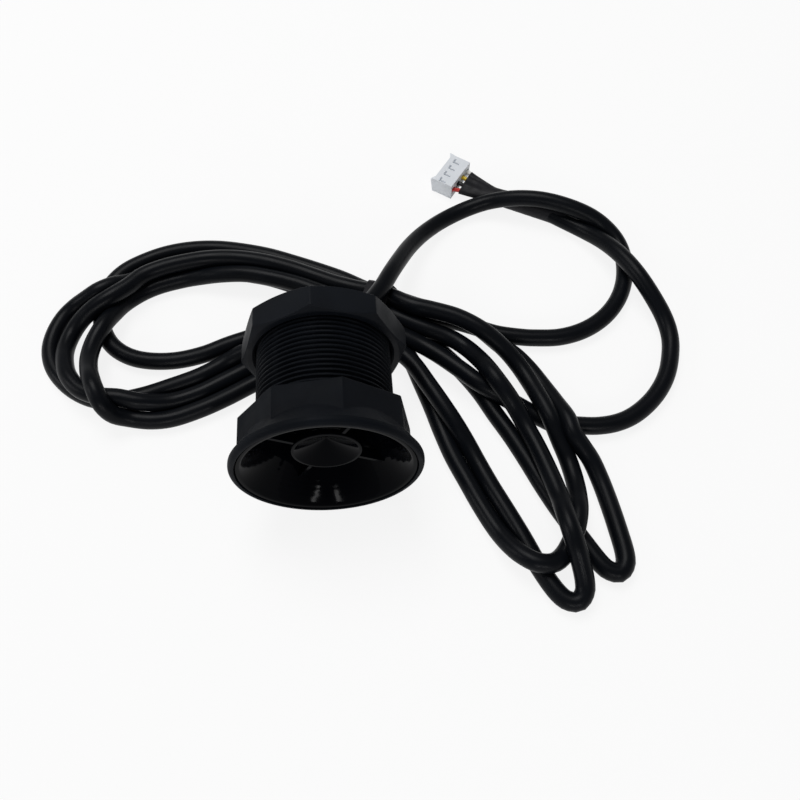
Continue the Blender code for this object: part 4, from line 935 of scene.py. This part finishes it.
class SENSOR_OT_sleeve(bpy.types.Operator):
    """Makes the heat-shrink sleeve, round on the cable and pressed flat over the four leads."""

    bl_idname = "sensor.sleeve"
    bl_label = "Heat-shrink sleeve"

    def execute(self, context):
        size = sizes()
        mouth = plug_point(PLUG_LENGTH / 2 + PLUG_LEAD + GAP)
        route = np.array(SLEEVE_ROUTE + [(mouth[0] / MM, mouth[1] / MM, 1.0)])
        rows = smooth_path(route, 0.45)
        share = np.clip(rows[:, 2], 0.0, 1.0)
        fan = np.clip((share - 0.7) / 0.3, 0.0, 1.0) ** 1.6
        flat = ease(np.clip((share - 0.35) / 0.65, 0.0, 1.0))
        width = size.sleeve_start + (size.sleeve_end - size.sleeve_start) * fan
        height = size.sleeve_start + (size.sleeve_thickness - size.sleeve_start) * flat
        level = height / 2 + (PLUG_HEIGHT - size.sleeve_thickness) / 2 * share**4
        path = np.column_stack([rows[:, :2] * MM, level])
        rings = carried(path, width, height, 64, power=0.92)

        # The leads print through the flat end, and the film has soft creases where it was pressed
        angles = np.linspace(0.0, math.tau, 64, endpoint=False)
        _, across, upright = line_frames(path)
        lateral = np.cos(angles)[None] * width[:, None] / 2
        ridge = np.cos(math.tau * lateral / PLUG_PITCH + math.pi) * np.abs(np.sin(angles))[None]
        crease = np.sin(np.arange(len(path)) * 0.9)[:, None] * np.sin(5 * angles + 1.0)[None]
        lift = 0.16 * MM * ridge * np.clip((share - 0.8) / 0.2, 0, 1)[:, None]
        lift = lift + 0.035 * MM * crease * np.clip(share * 2, 0.15, 1)[:, None]
        outward = 0.2 * np.cos(angles)[None, :, None] * across[:, None]
        outward = outward + np.sin(angles)[None, :, None] * upright[:, None]
        rings = rings + outward * lift[..., None]
        rings[..., 2] = np.maximum(rings[..., 2], 0.02 * MM)

        # Both ends turn in: on the cable with a soft edge, and at the leads round a shallow mouth
        first, last = rings[0], rings[-1]
        ahead = unit(path[1] - path[0])
        lip_start = path[0] + (first - path[0]) * 0.96 - ahead * 0.06 * MM
        front = unit(path[-1] - path[-2])
        lip_end = path[-1] + (last - path[-1]) * 0.9 + front * 0.1 * MM
        inside = path[-1] + (last - path[-1]) * 0.84 - front * 0.9 * MM
        tucked = path[0] + (first - path[0]) * 0.88 - ahead * 0.06 * MM
        rings = np.concatenate([tucked[None], lip_start[None], rings, lip_end[None], inside[None]])
        finish = plastic("shrunk_sleeve", colours().sleeve, 0.36, 0.52, 0.16, 0.02 * MM, 900.0)
        make_piece(
            "heat_shrink", [skin(rings)], finish, "sensor", ("heat_shrink_sleeve",), 50.0
        )
        return {"FINISHED"}


class SENSOR_OT_leads(bpy.types.Operator):
    """Makes the four leads between the sleeve and the plug."""

    bl_idname = "sensor.leads"
    bl_label = "Leads"

    def execute(self, context):
        size, tints = sizes(), colours()
        for k, (name, tint) in enumerate((
            ("red", tints.red), ("black", tints.black), ("yellow", tints.yellow), ("white", tints.white)
        )):
            side = (k - (PLUG_WAYS - 1) / 2) * PLUG_PITCH
            rear = PLUG_LENGTH / 2
            points = np.array([
                plug_point(rear + PLUG_LEAD + 2.4 * MM, side * 0.74, 0.0),
                plug_point(rear + PLUG_LEAD + 0.2 * MM, side * 0.86, 0.05 * MM),
                plug_point(rear + PLUG_LEAD * 0.5, side * 0.95, 0.18 * MM),
                plug_point(rear - 0.3 * MM, side, 0.05 * MM),
                plug_point(rear - 1.9 * MM, side, 0.0),
            ])
            path = smooth_path(points, 0.2 * MM)
            finish = plastic(f"{name}_insulation", tint, 0.3, 0.42, 0.5, 0.003 * MM, 2500.0, 0.05)
            rings = carried(path, size.wire_diameter, size.wire_diameter, size.round_steps)
            make_piece(
                f"{name}_lead_wire", [skin(rings)], finish, "sensor", (f"lead_{name}",), 50.0
            )
        return {"FINISHED"}


class SENSOR_OT_plug(bpy.types.Operator):
    """Makes the four-way plug housing, and finishes its contacts."""

    bl_idname = "sensor.plug"
    bl_label = "Plug"

    def execute(self, context):
        finish = plastic("plug_nylon", colours().nylon, 0.34, 0.5, 0.5, 0.006 * MM, 3000.0, 0.04)
        make_piece("plug_shell", [self.shell()], finish, "sensor", ("plug_housing",), 40.0)
        tinned = metal("tinned_contact", (0.72, 0.7, 0.64), 0.2, 0.4)
        for k in range(PLUG_WAYS):
            middle = (k - (PLUG_WAYS - 1) / 2) * PLUG_PITCH
            rings = []
            for depth, half in CONTACT_OUTLINE:
                corner = np.array(CONTACT_SECTION) * half * MM
                rings.append(plug_local(middle + corner[:, 0], np.full(8, depth * MM), corner[:, 1]))
            make_piece(
                f"contact_{k + 1}", [skin(np.stack(rings), loop=True)], tinned, "sensor",
                (f"plug_contact_{k + 1}",), 30.0,
            )
        return {"FINISHED"}

    def shell(self):
        """A box of fine grids, pushed in at its slots and cavities and out at the ears of its mating end."""
        size = np.array([PLUG_WIDTH, PLUG_LENGTH, PLUG_HEIGHT])
        cells = np.array([126, 78, 48])
        points, faces, first = [], [], 0
        for axis in range(3):
            u, v = [k for k in range(3) if k != axis]
            for side in (0, 1):
                i, j = np.meshgrid(np.arange(cells[u] + 1), np.arange(cells[v] + 1), indexing="ij")
                grid = np.zeros(i.shape + (3,), int)
                grid[..., u], grid[..., v], grid[..., axis] = i, j, side * cells[axis]
                number = first + np.arange(i.size).reshape(i.shape)
                corners = [number[:-1, :-1], number[1:, :-1], number[1:, 1:], number[:-1, 1:]]
                quads = np.stack(corners, -1).reshape(-1, 4)
                outward = (side == 1) == (axis != 1)
                faces.append(quads if outward else quads[:, ::-1])
                points.append(grid.reshape(-1, 3))
                first += i.size
        lattice, back = np.unique(np.vstack(points), axis=0, return_inverse=True)
        faces = back.ravel()[np.vstack(faces)]
        x, y, z = ((lattice / cells - 0.5) * size).T
        top, front, rear = lattice[:, 2] == cells[2], lattice[:, 1] == cells[1], lattice[:, 1] == 0
        near = (x / PLUG_PITCH + (PLUG_WAYS - 1) / 2).round().clip(0, PLUG_WAYS - 1)
        aside = x - (near - (PLUG_WAYS - 1) / 2) * PLUG_PITCH

        # L-shaped slots in the top, one over each contact
        half = 0.22 * MM
        across = np.maximum(np.abs(aside + 0.45 * MM) - 0.85 * MM, np.abs(y - 0.9 * MM) - half)
        along = np.maximum(np.abs(aside + 1.15 * MM) - half, np.abs(y + 0.1 * MM) - 1.15 * MM)
        slot = 1 - eased(np.minimum(across, along), -0.06 * MM, 0.06 * MM)
        z = np.where(top, z - 0.75 * MM * slot, z)

        # Cavities in the mating face, and an entry for each lead in the rear
        hole = 1 - eased(np.maximum(np.abs(aside), np.abs(z)) - PLUG_CAVITY / 2, -0.05 * MM, 0.05 * MM)
        y = np.where(front, y - 5.0 * MM * hole, y)
        y = np.where(rear, y + 1.3 * MM * hole, y)

        # The mating end is set back between two ears that stand out at the top, and its upper edge dips
        level = z / PLUG_HEIGHT + 0.5
        ear = eased(np.abs(x), 4.4 * MM, 6.2 * MM) * (0.35 + 0.65 * level)
        end = eased(y, 0.4 * PLUG_LENGTH - 1.6 * MM, PLUG_LENGTH / 2)
        y = y - np.where(front & (hole > 0.5), 0.0, 0.95 * MM * (1 - ear) * end)
        x = x * (1 + 0.055 * end * (0.3 + 0.7 * level))
        z = z - 0.14 * MM * eased(y, 2.9 * MM, 3.9 * MM) * (level > 0.98)

        return plug_local(x, y, z), [faces]


class SENSOR_OT_tie(bpy.types.Operator):
    """Makes the flat tie round the middle of the hank, with its twisted ends."""

    bl_idname = "sensor.tie"
    bl_label = "Twist tie"

    def execute(self, context):
        size = sizes()
        along = np.array([math.cos(TIE_TURN), -math.sin(TIE_TURN), 0.0])
        across = np.array([math.sin(TIE_TURN), math.cos(TIE_TURN), 0.0])
        path = cord_path()
        surfaces = [self.turn(path, TIE_PLACE + place * along, along, across, size) for place in TIE_TURNS]

        # The two ends are twisted round one another and lie back along the hank
        foot = TIE_PLACE + across * 12.0 * MM - along * 1.6 * MM + np.array([0.0, 0.0, 3.4 * MM])
        aim = unit(np.array([0.42, 0.9, 0.0]))
        t = np.linspace(0.0, 1.0, 60)
        middle = foot + aim * (t * 8.5 * MM - 1.0 * MM)[:, None]
        middle[:, 2] -= 2.4 * MM * t**1.5
        _, side, rise = line_frames(middle)
        for start in (0.0, math.pi):
            turn = start + math.tau * 2.6 * t
            swing = 0.45 * MM * np.clip(t * 6, 0.2, 1)
            line = middle + (np.cos(turn) * swing)[:, None] * side + (np.sin(turn) * swing)[:, None] * rise
            surfaces.append(skin(carried(line, 0.9 * MM, 0.7 * MM, 14)))
        finish = plastic("tie_ribbon", colours().sleeve, 0.4, 0.6, 0.14, 0.02 * MM, 1500.0)
        make_piece("cable_tie", surfaces, finish, "sensor", ("twist_tie",), 50.0)
        return {"FINISHED"}

    def turn(self, path, place, along, across, size):
        """One turn of the ribbon: a flat oval carried round the outline of the strands that cross its plane.

        Strands farther aside than the reach, or above the top, pass over or beside the tie."""
        offset = (path - place) @ along
        crossing = np.flatnonzero(offset[:-1] * offset[1:] < 0)
        share = (offset[crossing] / (offset[crossing] - offset[crossing + 1]))[:, None]
        strands = path[crossing] * (1 - share) + path[crossing + 1] * share
        near = np.abs((strands - place) @ across) < TIE_REACH
        strands = strands[near & (strands[:, 2] < TIE_TOP)]
        if len(strands) != TIE_STRANDS:
            raise ValueError(f"the tie goes round {len(strands)} strands, not {TIE_STRANDS}")
        centres = np.stack([(strands - place) @ across, strands[:, 2]], -1)
        angles = np.linspace(0.0, math.tau, 240, endpoint=False)
        way = np.stack([np.cos(angles), np.sin(angles)], -1)
        farthest = centres[np.argmax(centres @ way.T, axis=0)]
        thick = TIE_THICKNESS
        line = farthest + way * (size.cord_diameter / 2 + thick / 2 + 0.05 * MM)
        line = even_points(np.vstack([line, line[:1]]), 0.5 * MM)[:-1]
        line[:, 1] = np.maximum(line[:, 1], thick / 2 + 0.03 * MM)
        points = place + line[:, :1] * across + line[:, 1:] * np.array([0.0, 0.0, 1.0])
        ahead = unit(np.roll(points, -1, axis=0) - np.roll(points, 1, axis=0))
        outward = np.cross(ahead, along)
        section = np.linspace(0.0, math.tau, 24, endpoint=False)
        wide = squarer(np.cos(section), 0.5)
        high = np.sin(section) * (0.55 + 0.45 * np.exp(-((wide / 0.35) ** 2)))
        rings = (
            points[:, None] + wide[None, :, None] * along * size.tie_width / 2
            + high[None, :, None] * outward[:, None] * thick / 2
        )
        return skin(rings, loop=True)


class SENSOR_OT_inner_parts(bpy.types.Operator):
    """Gives the transducer, the circuit board with its parts and the rear seal their finishes."""

    bl_idname = "sensor.inner_parts"
    bl_label = "Inner parts"

    def execute(self, context):
        finishes = {
            "transducer_boot": plastic("boot_rubber", (0.01, 0.01, 0.01), 0.6, 0.8, 0.35, 0.01 * MM, 4000.0),
            "transducer_can": metal("spun_aluminium", (0.78, 0.79, 0.8), 0.26, 0.4),
            "piezo_disc": plastic("fired_ceramic", (0.55, 0.5, 0.38), 0.5, 0.7, 0.4, 0.004 * MM, 2500.0),
            "transducer_backing": plastic(
                "soft_silicone", (0.8, 0.8, 0.77), 0.4, 0.6, 0.4, 0.01 * MM, 1500.0, 0.04
            ),
            "transducer_wire_ground": plastic("ground_wire", (0.012, 0.012, 0.012), 0.35, 0.5, 0.4),
            "transducer_wire_signal": plastic("signal_wire", (0.5, 0.02, 0.02), 0.35, 0.5, 0.4),
            "circuit_board": plastic(
                "solder_mask", (0.01, 0.12, 0.05), 0.25, 0.4, 0.5, 0.006 * MM, 1800.0, 0.2
            ),
            "chips": plastic("moulded_epoxy", (0.015, 0.015, 0.016), 0.45, 0.6, 0.4, 0.006 * MM, 6000.0),
            "transformer_core": plastic(
                "pressed_ferrite", (0.05, 0.05, 0.055), 0.5, 0.7, 0.4, 0.02 * MM, 3000.0
            ),
            "transformer_coil": metal(
                "wound_copper", (0.6, 0.25, 0.1), 0.25, 0.4, 0.05 * MM, (1.0, 8.0, 1.0)
            ),
            "electrolytic_capacitor": metal("drawn_aluminium", (0.75, 0.76, 0.78), 0.25, 0.4),
            "quartz_crystal": metal("nickel_plate", (0.62, 0.6, 0.56), 0.2, 0.35),
            "rear_seal": plastic("cast_resin", (0.008, 0.008, 0.009), 0.14, 0.3, 0.5, 0.03 * MM, 500.0),
        }
        shared = {name: "chips" for name in ("microcontroller", "echo_amplifier", "voltage_regulator")}
        for name, node in frame["nodes"].items():
            finish = finishes.get(shared.get(name, name))
            if finish is not None:
                node.data.materials.clear()
                node.data.materials.append(finish)
        return {"FINISHED"}


STEPS = (
    "stage", "sleeve", "leads", "plug", "tie", "cord",
    "bushing", "housing", "lock_nut", "horn", "inner_parts",
)


class SENSOR_PT_panel(bpy.types.Panel):
    """Lists the steps, the sizes and the colours."""

    bl_idname = "SENSOR_PT_panel"
    bl_label = "Ultrasonic sensor"
    bl_space_type = "VIEW_3D"
    bl_region_type = "UI"
    bl_category = "Sensor"

    def draw(self, context):
        layout = self.layout
        for step in STEPS:
            layout.operator(f"sensor.{step}")
        for group in (context.scene.sensor_sizes, context.scene.sensor_colours):
            column = layout.column()
            for name in group.bl_rna.properties.keys():
                if name not in {"rna_type", "name"}:
                    column.prop(group, name)


CLASSES = (
    SensorSizes, SensorColours, SENSOR_OT_stage, SENSOR_OT_cord, SENSOR_OT_bushing, SENSOR_OT_housing,
    SENSOR_OT_lock_nut, SENSOR_OT_horn, SENSOR_OT_sleeve, SENSOR_OT_leads, SENSOR_OT_plug, SENSOR_OT_tie,
    SENSOR_OT_inner_parts, SENSOR_PT_panel,
)


def register():
    """Adds the classes and the scene's properties."""
    for cls in CLASSES:
        bpy.utils.register_class(cls)
    bpy.types.Scene.sensor_sizes = PointerProperty(type=SensorSizes)
    bpy.types.Scene.sensor_colours = PointerProperty(type=SensorColours)


def unregister():
    """Takes the classes and the scene's properties away again."""
    del bpy.types.Scene.sensor_colours
    del bpy.types.Scene.sensor_sizes
    for cls in reversed(CLASSES):
        bpy.utils.unregister_class(cls)


def main():
    """Builds every piece in order."""
    register()
    for step in STEPS:
        getattr(bpy.ops.sensor, step)()


if __name__ == "__main__":
    main()
